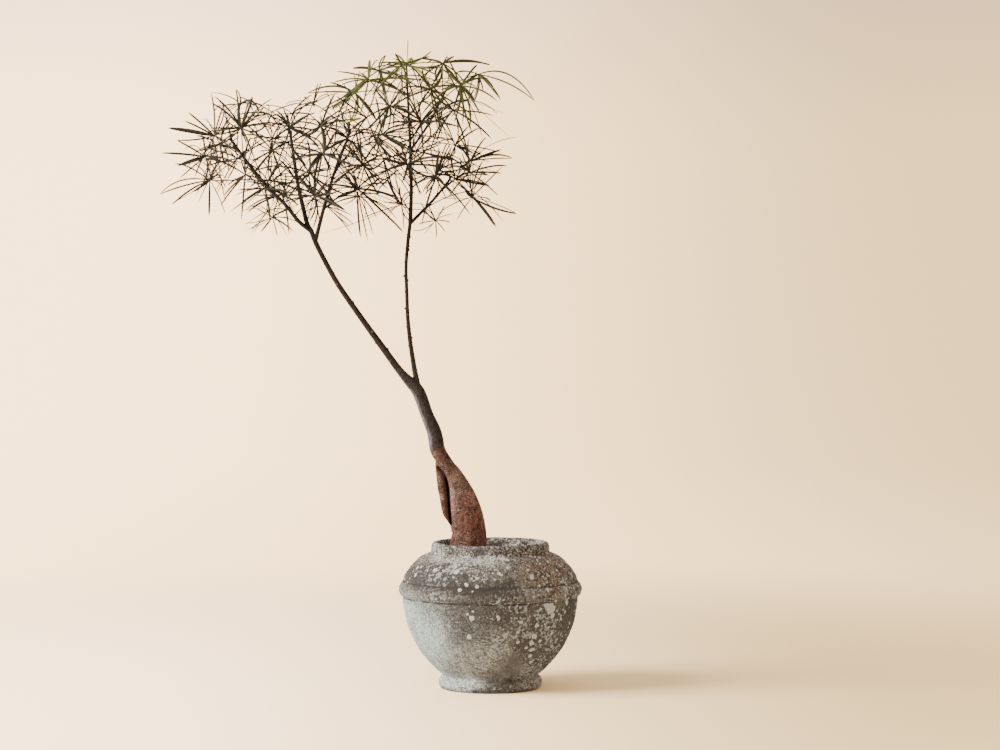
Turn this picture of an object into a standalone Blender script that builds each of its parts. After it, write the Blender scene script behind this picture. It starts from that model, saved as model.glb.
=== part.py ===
"""A potted brachychiton: a leaning caudex, two boughs and six leafy stems, in a turned stone pot full of soil.

Metres, +Z up. The origin is the centre of the pot's flat base. The plant leans to -X and is looked at from -Y.
"""

import math
import random

import bmesh
import bpy
import numpy as np
from mathutils import Vector

# Clear space between neighbouring solids
GAP = 0.0003

# The plant's places are given as they look from this eye, against the plane y = 0
EYE = (0.0159, -4.45, 0.6140)

# Pot, as (radius, height) up its outer side
POT_SIDES = 36
POT_FOOT = [
    (0.0815, 0.0000), (0.0840, 0.0030), (0.0852, 0.0080), (0.0848, 0.0140), (0.0820, 0.0180), (0.0775, 0.0218),
]
POT_BELLY = [
    (0.0830, 0.0260), (0.0895, 0.0313), (0.1083, 0.0512), (0.1180, 0.0644), (0.1252, 0.0777),
    (0.1315, 0.0910), (0.1367, 0.1042), (0.1400, 0.1175), (0.1442, 0.1440),
]
POT_BAND = [(0.1450, 0.1510), (0.1495, 0.1560), (0.1510, 0.1620), (0.1505, 0.1680), (0.1470, 0.1735)]
POT_SHOULDER = [
    (0.1440, 0.1775), (0.1425, 0.1840), (0.1340, 0.1970), (0.1222, 0.2102), (0.1135, 0.2169), (0.1010, 0.2222),
]
POT_COLLAR = [(0.0972, 0.2240), (0.0972, 0.2350), (0.0958, 0.2390), (0.0915, 0.2410), (0.0865, 0.2385)]
# Pot's inside, down from the lip to a flat floor: a neck, then an ellipse round a centre on the axis
POT_NECK = [(0.0830, 0.2300), (0.0830, 0.2120), (0.1040, 0.2000), (0.1220, 0.1820)]
HOLLOW_CENTRE = 0.152
HOLLOW_RADIUS = 0.127
HOLLOW_DEPTH = 0.146
HOLLOW_STEPS = 6
FLOOR_HEIGHT = 0.022
DRAIN_HOLES = 3
DRAIN_RADIUS = 0.006
DRAIN_CIRCLE = 0.045

# Soil
SOIL_SIDES = 18
SOIL_EDGE_HEIGHT = 0.2140
SOIL_CROWN = [(0.060, 0.2165), (0.030, 0.2180)]
SOIL_CENTRE_HEIGHT = 0.2185

# Caudex, trunk and left bough, as (x, y, z, radius) from the buried foot up to the last fork
TRUNK_SIDES = 10
TRUNK = [
    (-0.0364, 0.000, 0.1539, 0.0260),
    (-0.0364, 0.000, 0.1987, 0.0290),
    (-0.0365, 0.000, 0.2360, 0.0295),
    (-0.0359, 0.000, 0.2605, 0.0272),
    (-0.0412, 0.000, 0.2894, 0.0260),
    (-0.0471, 0.000, 0.3173, 0.0212),
    (-0.0575, 0.000, 0.3452, 0.0150),
    (-0.0702, 0.000, 0.3642, 0.0128),
    (-0.0808, 0.000, 0.3811, 0.0122),
    (-0.0877, 0.000, 0.3951, 0.0127),
    (-0.0924, 0.000, 0.4210, 0.0122),
    (-0.1044, 0.000, 0.4500, 0.0107),
    (-0.1185, 0.000, 0.4879, 0.0108),
    (-0.1312, -0.001, 0.5049, 0.0092),
    (-0.1493, -0.003, 0.5249, 0.0066),
    (-0.1793, -0.007, 0.5638, 0.0056),
    (-0.2097, -0.013, 0.6058, 0.0049),
    (-0.2480, -0.020, 0.6608, 0.0045),
    (-0.2688, -0.024, 0.6968, 0.0039),
    (-0.2861, -0.028, 0.7308, 0.0037),
    (-0.2950, -0.030, 0.7528, 0.0034),
]
# The caudex is lobed below this height, and its hole in the soil follows its lobes
LOBED_BELOW = 0.373
LOBE_DEPTH = 0.035
LOBE_TWIST = 30.0
HOLE_TOP = 0.240
HOLE_CLEARANCE = 1.4 * GAP
# Second leg, thin and grown against the caudex, behind its left side
SECOND_LEG = [
    (-0.0835, 0.0030, 0.3811, 0.0070),
    (-0.0836, 0.0050, 0.3707, 0.0075),
    (-0.0822, 0.0060, 0.3567, 0.0080),
    (-0.0790, 0.0055, 0.3426, 0.0098),
    (-0.0772, 0.0070, 0.3294, 0.0102),
    (-0.0744, 0.0090, 0.3161, 0.0100),
    (-0.0728, 0.0100, 0.3019, 0.0092),
    (-0.0705, 0.0110, 0.2880, 0.0080),
    (-0.0668, 0.0110, 0.2798, 0.0066),
    (-0.0625, 0.0100, 0.2698, 0.0050),
    (-0.0560, 0.0080, 0.2600, 0.0045),
]
RIGHT_BOUGH = [
    (-0.1164, 0.000, 0.4849, 0.0050),
    (-0.1224, 0.003, 0.5109, 0.0048),
    (-0.1267, 0.006, 0.5339, 0.0043),
    (-0.1323, 0.013, 0.5718, 0.0037),
    (-0.1362, 0.019, 0.6098, 0.0031),
    (-0.1380, 0.024, 0.6568, 0.0027),
    (-0.1390, 0.028, 0.6948, 0.0026),
    (-0.1362, 0.030, 0.7328, 0.0026),
    (-0.1322, 0.030, 0.7669, 0.0027),
]
# Knobs on the caudex and rounded forks, as (x, y, z, radius)
KNOBS = [
    (-0.0744, -0.003, 0.3926, 0.0022),
    (-0.0634, 0.004, 0.2615, 0.0035),
    (-0.2950, -0.030, 0.7528, 0.0038),
    (-0.1322, 0.030, 0.7669, 0.0031),
]

# Leafy stems. A leaf is (hub's x, hub's z, size, places x, z where its leaflets' tips show in the outline)
STEM_SIDES = 6
STUB = 0.012
STEMS = {
    "stem_far_left": {
        "grows_from": "trunk",
        "path": [
            (-0.2951, -0.030, 0.7528),
            (-0.3162, -0.031, 0.7699),
            (-0.3372, -0.033, 0.7959),
            (-0.3653, -0.037, 0.8249),
            (-0.3974, -0.041, 0.8630),
            (-0.4275, -0.046, 0.9041),
        ],
        "radii": (0.0025, 0.0017),
        "leaves": [
            (-0.3592, 0.7759, 0.6, [(-0.3251, 0.7528), (-0.3792, 0.7508), (-0.3972, 0.7558)]),
            (-0.3422, 0.8129, 1.0, []),
            (-0.3573, 0.8359, 1.0, []),
            (-0.3723, 0.8239, 1.0, []),
            (-0.4033, 0.8460, 1.0, []),
            (-0.4624, 0.8369, 1.1, [(-0.5454, 0.8139), (-0.5243, 0.7969), (-0.4642, 0.7789)]),
            (-0.4154, 0.8730, 1.0, []),
            (-0.4694, 0.8760, 1.0, [(-0.5165, 0.9031), (-0.5425, 0.8820), (-0.5165, 0.8600)]),
            (-0.4465, 0.8970, 0.9, []),
            (-0.4545, 0.9101, 1.1, [(-0.5326, 0.9231), (-0.5026, 0.9341), (-0.4976, 0.9492), (-0.4596, 0.9812)]),
            (-0.4105, 0.9231, 1.0, [(-0.4186, 0.9873), (-0.3925, 0.9752), (-0.3725, 0.9572)]),
        ],
    },
    "stem_middle": {
        "grows_from": "trunk",
        "path": [
            (-0.2951, -0.030, 0.7528),
            (-0.3021, -0.024, 0.7659),
            (-0.3092, -0.010, 0.7949),
            (-0.3162, 0.006, 0.8259),
            (-0.3213, 0.020, 0.8580),
            (-0.3273, 0.034, 0.8991),
            (-0.3344, 0.046, 0.9432),
        ],
        "radii": (0.0031, 0.0015),
        "leaves": [
            (-0.2892, 0.8119, 1.0, [(-0.2381, 0.7869)]),
            (-0.3182, 0.8339, 1.0, []),
            (-0.2973, 0.8480, 1.0, []),
            (-0.3594, 0.8860, 1.1, []),
            (-0.3344, 0.9001, 1.0, []),
            (-0.3304, 0.9241, 0.9, [(-0.3574, 0.9411)]),
            (-0.3264, 0.9472, 0.9, [(-0.2864, 0.9672), (-0.2984, 0.9462)]),
        ],
    },
    "stem_inner": {
        "grows_from": "trunk",
        "path": [
            (-0.2881, -0.0285, 0.7378),
            (-0.2811, -0.036, 0.7659),
            (-0.2712, -0.048, 0.8029),
            (-0.2552, -0.064, 0.8550),
            (-0.2353, -0.078, 0.9061),
            (-0.2323, -0.084, 0.9331),
        ],
        "radii": (0.0025, 0.0013),
        "leaves": [
            (-0.2182, 0.8229, 1.25, [(-0.2136, 0.7428), (-0.1441, 0.7508)]),
            (-0.2102, 0.8620, 1.0, []),
            (-0.2763, 0.8810, 1.1, []),
            (-0.2353, 0.9061, 1.0, []),
            (-0.1792, 0.9121, 1.0, []),
            (-0.2793, 0.9261, 1.0, []),
        ],
    },
    "stem_crown": {
        "grows_from": "trunk",
        "path": [
            (-0.1322, 0.030, 0.7669),
            (-0.1314, 0.030, 0.7819),
            (-0.1302, 0.030, 0.8239),
            (-0.1314, 0.029, 0.8620),
            (-0.1326, 0.027, 0.9091),
            (-0.1361, 0.024, 0.9772),
            (-0.1379, 0.023, 1.0254),
        ],
        "radii": (0.0026, 0.0011),
        "leaves": [
            (-0.1461, 0.7969, 0.6, []),
            (-0.0901, 0.8440, 1.1, []),
            (-0.1371, 0.8630, 1.2, []),
            (-0.1221, 0.8850, 1.0, []),
            (-0.1262, 0.9111, 1.0, []),
            (-0.1142, 0.9341, 1.1, []),
            (-0.1662, 0.9592, 1.1, []),
            (-0.2233, 0.9812, 1.25, [(-0.3024, 0.9802), (-0.2834, 0.9482), (-0.2633, 0.9522), (-0.1882, 0.9361)]),
            (-0.0982, 0.9873, 1.2, []),
            (-0.2008, 1.0023, 1.1, [(-0.1993, 1.0354), (-0.1512, 0.9853)]),
            (-0.1833, 1.0174, 1.1, [(-0.2264, 1.0224), (-0.1713, 1.0434)]),
            (-0.1452, 1.0264, 1.1, [(-0.1573, 1.0454), (-0.1823, 1.0304)]),
            (-0.0781, 1.0294, 1.2, [(0.0005, 1.0274), (-0.0601, 1.0404)]),
        ],
    },
    "stem_upper_right": {
        "grows_from": "stem_crown",
        "path": [
            (-0.1318, 0.028, 0.8860),
            (-0.1071, 0.012, 0.9211),
            (-0.0931, -0.002, 0.9462),
            (-0.0729, -0.018, 0.9853),
        ],
        "radii": (0.0016, 0.0012),
        "leaves": [
            (-0.0611, 0.9522, 1.0, []),
            (-0.0361, 0.9682, 1.1, []),
            (-0.0486, 0.9923, 1.1, []),
            (-0.0196, 1.0113, 1.3, [(0.0737, 0.9672), (0.0175, 0.9692), (-0.0271, 0.9692)]),
        ],
    },
    "stem_lower_right": {
        "grows_from": "trunk",
        "path": [
            (-0.1322, 0.030, 0.7659),
            (-0.1083, 0.046, 0.7899),
            (-0.0886, 0.060, 0.8109),
            (-0.0676, 0.074, 0.8379),
        ],
        "radii": (0.0020, 0.0013),
        "leaves": [
            (-0.0901, 0.7709, 0.5, []),
            (-0.0300, 0.8089, 1.1, [(0.0440, 0.7819), (0.0090, 0.7589)]),
            (-0.0581, 0.8389, 1.0, [(-0.0020, 0.8450), (-0.0020, 0.8289)]),
            (-0.0340, 0.8500, 1.0, [(0.0190, 0.8485)]),
            (-0.0340, 0.8680, 1.0, [(0.0190, 0.8880), (0.0360, 0.8730)]),
            (-0.0581, 0.8940, 1.0, []),
        ],
    },
}

# The crown's outline as seen from -Y, as (x, z). Leaflets with no given tip end inside it
CROWN_OUTLINE = [
    (-0.3251, 0.7478), (-0.4002, 0.7478), (-0.4702, 0.7749), (-0.5303, 0.7929), (-0.5474, 0.8149),
    (-0.5455, 0.8830), (-0.5356, 0.9251), (-0.5006, 0.9512), (-0.4606, 0.9833), (-0.4156, 0.9893),
    (-0.3755, 0.9682), (-0.3404, 0.9582), (-0.3024, 0.9833), (-0.2264, 1.0254), (-0.1713, 1.0454),
    (-0.1002, 1.0484), (-0.0601, 1.0414), (-0.0000, 1.0294), (0.0300, 1.0033), (0.0300, 0.9682),
    (0.0050, 0.9331), (-0.0000, 0.9031), (0.0360, 0.8730), (0.0300, 0.8029), (0.0440, 0.7809),
    (0.0100, 0.7578), (-0.0400, 0.7679), (-0.0900, 0.7428), (-0.2131, 0.7408), (-0.2701, 0.7679),
]

# Leaves: a stalk to a hub, and leaflets that spread round it. Angles are in radians
SEED = 41
STALK_LENGTH = (0.050, 0.085)
STALK_RADIUS = 0.0009
STALK_STEPS = 4
STALK_ARCH = 0.12
FOOT_REACH = 0.85
FOOT_BELOW_HUB = 0.008
LEAST_STALK_DEPTH = 0.010
HUB_RADIUS = 0.0028
HUB_LOOKS_UP = 0.25
LEAFLETS = 8
LEAFLET_LENGTH = (0.055, 0.072)
LEAFLET_WIDTH = 0.0032
LEAFLET_WIDTHS = ((0.0, 0.55), (0.35, 1.0), (0.7, 0.85), (1.0, 0.0))
LEAFLET_THICKNESS = 0.0011
LEAFLET_ROOT = 0.3
LEAFLET_DROOP = 0.12
LEAFLET_RISE = 0.35
# Leaflets with a given tip
GIVEN_STEPS = 3
GIVEN_SPREAD = 1.4
GIVEN_DEPTH = (-0.4, 0.4)
GIVEN_DROOP = (0.3, 1.0)
# Leaflets with no given tip lean out by one of two angles in turn
FREE_STEPS = 2
FREE_SPREADS = (1.2, 1.75)
FREE_SPREAD_CHANGE = (-0.25, 0.25)
FREE_TURN_CHANGE = (-0.3, 0.3)
FREE_DROOP = (-0.2, 1.0)
# Young leaflets at a stem's tip
SHOOT_LEAFLETS = 5
SHOOT_LENGTH = (0.022, 0.036)
SHOOT_SPREAD = (0.35, 0.8)
SHOOT_TURN_CHANGE = (-0.2, 0.2)
SHOOT_DROOP = 0.05
# How the leaves keep clear of each other
DRAWS = 10
SHORTER_EACH_DRAW = 0.05
NEIGHBOUR_SPACE = 0.0010
BOUGH_SPACE = 0.004
CROWDING = 50
SAMPLES = 20


def clear_scene():
    for old in list(bpy.data.objects):
        bpy.data.objects.remove(old, do_unlink=True)


def finish_material(name, colour, roughness):
    made = bpy.data.materials.new(name)
    made.use_nodes = True
    surface = made.node_tree.nodes["Principled BSDF"]
    surface.inputs["Base Color"].default_value = (*colour, 1.0)
    surface.inputs["Roughness"].default_value = roughness
    surface.inputs["Metallic"].default_value = 0.0
    return made


def mesh_from(bm, name):
    bmesh.ops.recalc_face_normals(bm, faces=bm.faces)
    mesh = bpy.data.meshes.new(name)
    bm.to_mesh(mesh)
    bm.free()
    return mesh


def place(name, mesh, material):
    mesh.materials.clear()
    mesh.materials.append(material)
    piece = bpy.data.objects.new(name, mesh)
    bpy.context.scene.collection.objects.link(piece)
    return piece


def boolean(piece, others, operation, solver):
    """Joins or cuts one object with a list of meshes, in one Boolean on a collection, and applies it."""
    tools = bpy.data.collections.new(piece.name + "_tools")
    bpy.context.scene.collection.children.link(tools)
    for mesh in others:
        tools.objects.link(bpy.data.objects.new(mesh.name, mesh))
    step = piece.modifiers.new(operation.title(), "BOOLEAN")
    step.operation = operation
    step.operand_type = "COLLECTION"
    step.collection = tools
    step.solver = solver
    graph = bpy.context.evaluated_depsgraph_get()
    result = bpy.data.meshes.new_from_object(piece.evaluated_get(graph))
    piece.modifiers.clear()
    piece.data = result
    for tool in list(tools.objects):
        bpy.data.objects.remove(tool, do_unlink=True)
    bpy.data.collections.remove(tools)


def shade_round(piece, angle):
    piece.data.shade_smooth()
    piece.data.set_sharp_from_angle(angle=math.radians(angle))


# Turned shapes


def turned(name, profile, sides):
    bm = bmesh.new()
    line = [bm.verts.new((r, 0.0, z)) for r, z in profile]
    edges = [bm.edges.new(pair) for pair in zip(line, line[1:])]
    bmesh.ops.spin(bm, geom=line + edges, cent=(0, 0, 0), axis=(0, 0, 1), angle=math.tau, steps=sides)
    bmesh.ops.remove_doubles(bm, verts=bm.verts, dist=1e-6)
    return mesh_from(bm, name)


def hollow_side():
    """The pot's inside from the floor up to the neck."""
    lowest = math.asin((HOLLOW_CENTRE - FLOOR_HEIGHT) / HOLLOW_DEPTH)
    angles = [lowest * (1 - i / HOLLOW_STEPS) for i in range(HOLLOW_STEPS + 1)]
    belly = [(HOLLOW_RADIUS * math.cos(a), HOLLOW_CENTRE - HOLLOW_DEPTH * math.sin(a)) for a in angles]
    return belly + POT_NECK[::-1]


def inset(profile, distance):
    """A profile moved inwards, square to itself."""
    points = np.array(profile)
    along = np.gradient(points, axis=0)
    along /= np.linalg.norm(along, axis=1)[:, None]
    return [tuple(p) for p in points + distance * np.stack((-along[:, 1], along[:, 0]), axis=1)]


def make_pot(material):
    outside = POT_FOOT + POT_BELLY + POT_BAND + POT_SHOULDER + POT_COLLAR
    profile = [(0.0, 0.0)] + outside + hollow_side()[::-1] + [(0.0, FLOOR_HEIGHT)]
    pot = place("pot", turned("pot", profile, POT_SIDES), material)
    holes = []
    for i in range(DRAIN_HOLES):
        angle = math.tau * (i + 0.5) / DRAIN_HOLES
        bm = bmesh.new()
        bmesh.ops.create_cone(
            bm,
            cap_ends=True,
            segments=12,
            radius1=DRAIN_RADIUS,
            radius2=DRAIN_RADIUS,
            depth=3 * FLOOR_HEIGHT,
        )
        across, along = DRAIN_CIRCLE * math.cos(angle), DRAIN_CIRCLE * math.sin(angle)
        bmesh.ops.translate(bm, verts=bm.verts, vec=(across, along, FLOOR_HEIGHT / 2))
        holes.append(mesh_from(bm, "drain_hole"))
    boolean(pot, holes, "DIFFERENCE", "EXACT")
    shade_round(pot, 35)


def make_soil(material):
    side = [p for p in inset(hollow_side(), GAP) if p[1] < SOIL_EDGE_HEIGHT]
    floor = FLOOR_HEIGHT + GAP
    edge = (POT_NECK[0][0] - GAP, SOIL_EDGE_HEIGHT)
    side[0] = (side[0][0] - GAP, floor)
    profile = [(0.0, floor)] + side + [edge] + SOIL_CROWN + [(0.0, SOIL_CENTRE_HEIGHT)]
    soil = place("soil", turned("soil", profile, SOIL_SIDES), material)
    boolean(soil, [caudex_hole()], "DIFFERENCE", "EXACT")
    shade_round(soil, 35)


# Stems and boughs


def at_depth(x, y, z):
    """A place given as it looks from the eye, moved along the line of sight to its own depth."""
    share = (y - EYE[1]) / -EYE[1]
    return np.array((EYE[0] + (x - EYE[0]) * share, y, EYE[2] + (z - EYE[2]) * share))


def eased(rows, steps):
    """Rows of x, y, z and more on a smooth curve through the given rows, with some steps between each two."""
    rows = np.array([(*at_depth(*row[:3]), *row[3:]) for row in rows])
    rows = np.vstack((2 * rows[0] - rows[1], rows, 2 * rows[-1] - rows[-2]))
    found = []
    for a, b, c, d in zip(rows, rows[1:], rows[2:], rows[3:]):
        for t in np.arange(steps) / steps:
            pull = (2 * a - 5 * b + 4 * c - d) * t**2 + (3 * b - 3 * c + d - a) * t**3
            found.append(b + 0.5 * ((c - a) * t + pull))
    return np.array(found + [rows[-2]])


def tube(name, rows, sides, lobe_depth=0.0):
    """A closed tube from rows of x, y, z, radius: a ring square to the path at each, and flat ends."""
    bm = bmesh.new()
    path = [Vector(row[:3]) for row in rows]
    across = Vector((1.0, 0.2, 0.1))
    rings = []
    for i, (point, row) in enumerate(zip(path, rows)):
        along = (path[min(i + 1, len(path) - 1)] - path[max(i - 1, 0)]).normalized()
        across = (across - along * across.dot(along)).normalized()
        square = along.cross(across)
        ring = []
        for k in range(sides):
            angle = math.tau * k / sides
            lobe = math.sin(2 * angle + 1.0) + math.sin(3 * angle + LOBE_TWIST * point.z)
            depth = lobe_depth if point.z < LOBED_BELOW else 0.0
            reach = row[3] * (1 + depth * lobe)
            ring.append(bm.verts.new(point + (across * math.cos(angle) + square * math.sin(angle)) * reach))
        rings.append(ring)
    for low, high in zip(rings, rings[1:]):
        for k in range(sides):
            n = (k + 1) % sides
            bm.faces.new((low[k], low[n], high[n], high[k]))
    bm.faces.new(rings[0][::-1])
    bm.faces.new(rings[-1])
    return mesh_from(bm, name)


def caudex_hole():
    """The cutter for the caudex's hole in the soil: the caudex itself, a gap wider."""
    rows = [row for row in eased(TRUNK, 2) if row[2] < HOLE_TOP]
    rows = [row + np.array((0, 0, 0, HOLE_CLEARANCE)) for row in rows]
    rows[0][2] -= GAP
    return tube("caudex_hole", rows, TRUNK_SIDES, LOBE_DEPTH)


def ball(name, x, y, z, radius):
    bm = bmesh.new()
    bmesh.ops.create_icosphere(bm, subdivisions=1, radius=radius)
    bmesh.ops.translate(bm, verts=bm.verts, vec=(x, y, z))
    return mesh_from(bm, name)


def stem_rows(stem):
    """A stem's rows of x, y, z, radius, from its root to its tip."""
    path = eased(stem["path"], 3)
    first, last = stem["radii"]
    return np.column_stack((path, np.linspace(first, last, len(path))))


def stretch(rows, start, end):
    """The rows of a path between two distances along it."""
    steps = np.linalg.norm(np.diff(rows[:, :3], axis=0), axis=1)
    far = np.concatenate(([0.0], np.cumsum(steps)))
    end = min(end, far[-1])
    wanted = np.concatenate(([start], far[(far > start + 0.002) & (far < end - 0.002)], [end]))
    return np.column_stack([np.interp(wanted, far, column) for column in rows.T])


def stubs_on(carrier):
    """Short roots of the stems that grow from one piece, fused to it."""
    return [
        tube(name + "_stub", stretch(stem_rows(stem), 0.0, STUB), STEM_SIDES)
        for name, stem in STEMS.items()
        if stem["grows_from"] == carrier
    ]


def make_trunk(material):
    trunk = place("trunk", tube("trunk", eased(TRUNK, 2), TRUNK_SIDES, LOBE_DEPTH), material)
    grown = [tube("second_leg", eased(SECOND_LEG, 2), 10), tube("right_bough", eased(RIGHT_BOUGH, 2), 8)]
    grown += [ball("knob", *at_depth(*knob[:3]), knob[3]) for knob in KNOBS]
    boolean(trunk, grown + stubs_on("trunk"), "UNION", "EXACT")
    shade_round(trunk, 40)


# Where the leaves go


def unit(vector):
    return vector / np.linalg.norm(vector)


def arc(start, middle, end, steps):
    """Points from start to end on a curve that bends towards middle."""
    t = np.linspace(0, 1, steps + 1)[:, None]
    return start * (1 - t) ** 2 + middle * 2 * t * (1 - t) + end * t**2


class Space:
    """What is already taken: lines with a radius, each owned by a node and a leaf."""

    def __init__(self):
        self.starts = np.empty((0, 3))
        self.ends = np.empty((0, 3))
        self.radii = np.empty(0)
        self.nodes = np.empty(0, int)
        self.leaves = np.empty(0, int)

    def take(self, line, radius, node, leaf):
        count = len(line) - 1
        self.starts = np.vstack((self.starts, line[:-1]))
        self.ends = np.vstack((self.ends, line[1:]))
        self.radii = np.append(self.radii, np.full(count, radius))
        self.nodes = np.append(self.nodes, np.full(count, node))
        self.leaves = np.append(self.leaves, np.full(count, leaf))

    def room(self, line, radius, node, leaf):
        """The least clear space round a line, where another node asks for more of it than its own does."""
        spots = np.column_stack(
            [np.interp(np.linspace(0, len(line) - 1, SAMPLES), np.arange(len(line)), c) for c in line.T]
        )
        others = self.leaves != leaf
        starts, ends = self.starts[others], self.ends[others]
        run = ends - starts
        offset = spots[:, None] - starts
        share = np.clip((offset * run).sum(2) / (run**2).sum(1), 0, 1)
        apart = np.linalg.norm(offset - share[..., None] * run, axis=2)
        asked = self.radii[others] + radius
        asked = asked + np.where(self.nodes[others] == node, 0.0, NEIGHBOUR_SPACE)
        return (apart - asked).min()


def stalk_foot(path, x, z, reach):
    """The lowest place on a stem that a stalk of this reach can leave for a hub, or else the nearest."""
    flat = np.hypot(path[:, 0] - x, path[:, 2] - z)
    near = np.flatnonzero((flat < reach) & (path[:, 2] < z - FOOT_BELOW_HUB))
    return path[near[0]] if len(near) else path[np.argmin(flat)]


def plan_stalk(draw, space, path, x, z, node, leaf):
    """A stalk's start, bend and hub: of a few draws, the one with the most room round it."""
    best, most = None, -math.inf
    for _ in range(DRAWS):
        length = draw.uniform(*STALK_LENGTH)
        foot = stalk_foot(path, x, z, FOOT_REACH * length)
        flat = math.hypot(x - foot[0], z - foot[2])
        deep = math.sqrt(max(length**2 - flat**2, LEAST_STALK_DEPTH**2)) * draw.choice((-1, 1))
        hub = at_depth(x, foot[1] + deep, z)
        bend = (foot + hub) / 2 + np.array((0.0, 0.0, STALK_ARCH * length))
        line = arc(foot, bend, hub, STALK_STEPS)
        room = space.room(line[1:], STALK_RADIUS, node, -1)
        open_air = space.room(np.array((hub, hub + 1e-6)), 0.0, node, -1)
        score = min(room, 0.0) * CROWDING + open_air
        if score > most:
            best, most = (foot, bend, hub), score
    return best


def leaflet_to(hub, tip, axis, droop):
    """A leaflet's three guiding points: it rises a little from the hub and then droops to its tip."""
    length = np.linalg.norm(tip - hub)
    middle = (hub + tip) / 2 + (LEAFLET_RISE * axis + np.array((0, 0, 1.0))) * droop * length
    return hub, middle, tip


def cone_direction(axis, turn, spread):
    """A direction at an angle to an axis, turned about it."""
    side = unit(np.cross(axis, (0.3, 0.9, 0.1)))
    other = np.cross(axis, side)
    flat = side * math.cos(turn) + other * math.sin(turn)
    return axis * math.cos(spread) + flat * math.sin(spread)


def inside_crown(x, z):
    """Whether a line to the right of a place crosses the crown's outline an odd number of times."""
    inside = False
    for (x0, z0), (x1, z1) in zip(CROWN_OUTLINE, CROWN_OUTLINE[1:] + CROWN_OUTLINE[:1]):
        if (z0 > z) != (z1 > z) and x < x0 + (z - z0) / (z1 - z0) * (x1 - x0):
            inside = not inside
    return inside


def plan_leaf(draw, space, axis, hub, size, tips, node, leaf):
    """The leaflets of one leaf: those with a given tip, and the rest spread evenly round the hub."""
    leaflets = []
    first_turn = draw.uniform(0, math.tau)
    turns = [first_turn + math.tau * i / LEAFLETS for i in range(LEAFLETS)]

    def try_draws(make, steps):
        for go in range(DRAWS):
            guide = make(1 - SHORTER_EACH_DRAW * go)
            line = arc(*guide, steps)
            allowed = steps == GIVEN_STEPS or inside_crown(guide[2][0], guide[2][2])
            if allowed and space.room(line, LEAFLET_WIDTH / 2, node, leaf) > 0:
                space.take(line, LEAFLET_WIDTH / 2, node, leaf)
                leaflets.append((guide, steps))
                return

    for x, z in tips:
        flat = math.hypot(x - hub[0], z - hub[2])
        towards = unit(np.array((x - hub[0], 0.0, z - hub[2])))
        turns.remove(max(turns, key=lambda turn: cone_direction(axis, turn, GIVEN_SPREAD) @ towards))

        def make_given(_, x=x, z=z, flat=flat):
            tip = at_depth(x, hub[1] + draw.uniform(*GIVEN_DEPTH) * flat, z)
            return leaflet_to(hub, tip, axis, draw.uniform(*GIVEN_DROOP) * LEAFLET_DROOP)

        try_draws(make_given, GIVEN_STEPS)
    for i, turn in enumerate(turns):

        def make_free(share, turn=turn, spread=FREE_SPREADS[i % 2]):
            turn = turn + draw.uniform(*FREE_TURN_CHANGE)
            aim = cone_direction(axis, turn, spread + draw.uniform(*FREE_SPREAD_CHANGE))
            tip = hub + aim * share * size * draw.uniform(*LEAFLET_LENGTH)
            return leaflet_to(hub, tip, axis, draw.uniform(*FREE_DROOP) * LEAFLET_DROOP)

        try_draws(make_free, FREE_STEPS)
    return leaflets


def plan_shoot(draw, space, tip, along, node, leaf):
    """The young leaflets at a stem's tip, still nearly closed."""
    leaflets = []
    for i in range(SHOOT_LEAFLETS):
        turn = math.tau * i / SHOOT_LEAFLETS + draw.uniform(*SHOOT_TURN_CHANGE)
        aim = cone_direction(along, turn, draw.uniform(*SHOOT_SPREAD))
        end = tip + aim * draw.uniform(*SHOOT_LENGTH)
        guide = leaflet_to(tip, end, along, SHOOT_DROOP)
        line = arc(*guide, FREE_STEPS)
        if space.room(line, LEAFLET_WIDTH / 2, node, leaf) > 0:
            space.take(line, LEAFLET_WIDTH / 2, node, leaf)
            leaflets.append((guide, FREE_STEPS))
    return leaflets


def plan_foliage():
    """For each stem, its leaves as (stalk's three guiding points or none, axis, leaflets, young or not)."""
    draw = random.Random(SEED)
    space = Space()
    for rows in (eased(TRUNK, 1), eased(RIGHT_BOUGH, 1)):
        space.take(rows[:, :3], BOUGH_SPACE, -1, -2)
    paths = {}
    for node, (name, stem) in enumerate(STEMS.items()):
        rows = stem_rows(stem)
        paths[name] = stretch(rows, STUB + BOUGH_SPACE, math.inf)[:, :3]
        space.take(paths[name], stem["radii"][0], node, -1)
    plan = {name: [] for name in STEMS}
    leaf = 0
    most = max(len(stem["leaves"]) for stem in STEMS.values())
    for turn in range(most + 1):
        for node, (name, stem) in enumerate(STEMS.items()):
            leaf += 1
            if turn < len(stem["leaves"]):
                x, z, size, tips = stem["leaves"][turn]
                foot, bend, hub = plan_stalk(draw, space, paths[name], x, z, node, leaf)
                space.take(arc(foot, bend, hub, STALK_STEPS)[1:], STALK_RADIUS, node, leaf)
                axis = unit(unit(hub - bend) + np.array((0.0, 0.0, HUB_LOOKS_UP)))
                leaflets = plan_leaf(draw, space, axis, hub, size, tips, node, leaf)
                plan[name].append(((foot, bend, hub), axis, leaflets, False))
            elif turn == most:
                tip = paths[name][-1]
                along = unit(tip - paths[name][-3])
                leaflets = plan_shoot(draw, space, tip, along, node, leaf)
                plan[name].append(((None, None, tip), along, leaflets, True))
    return plan


# Leaves as solids


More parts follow.
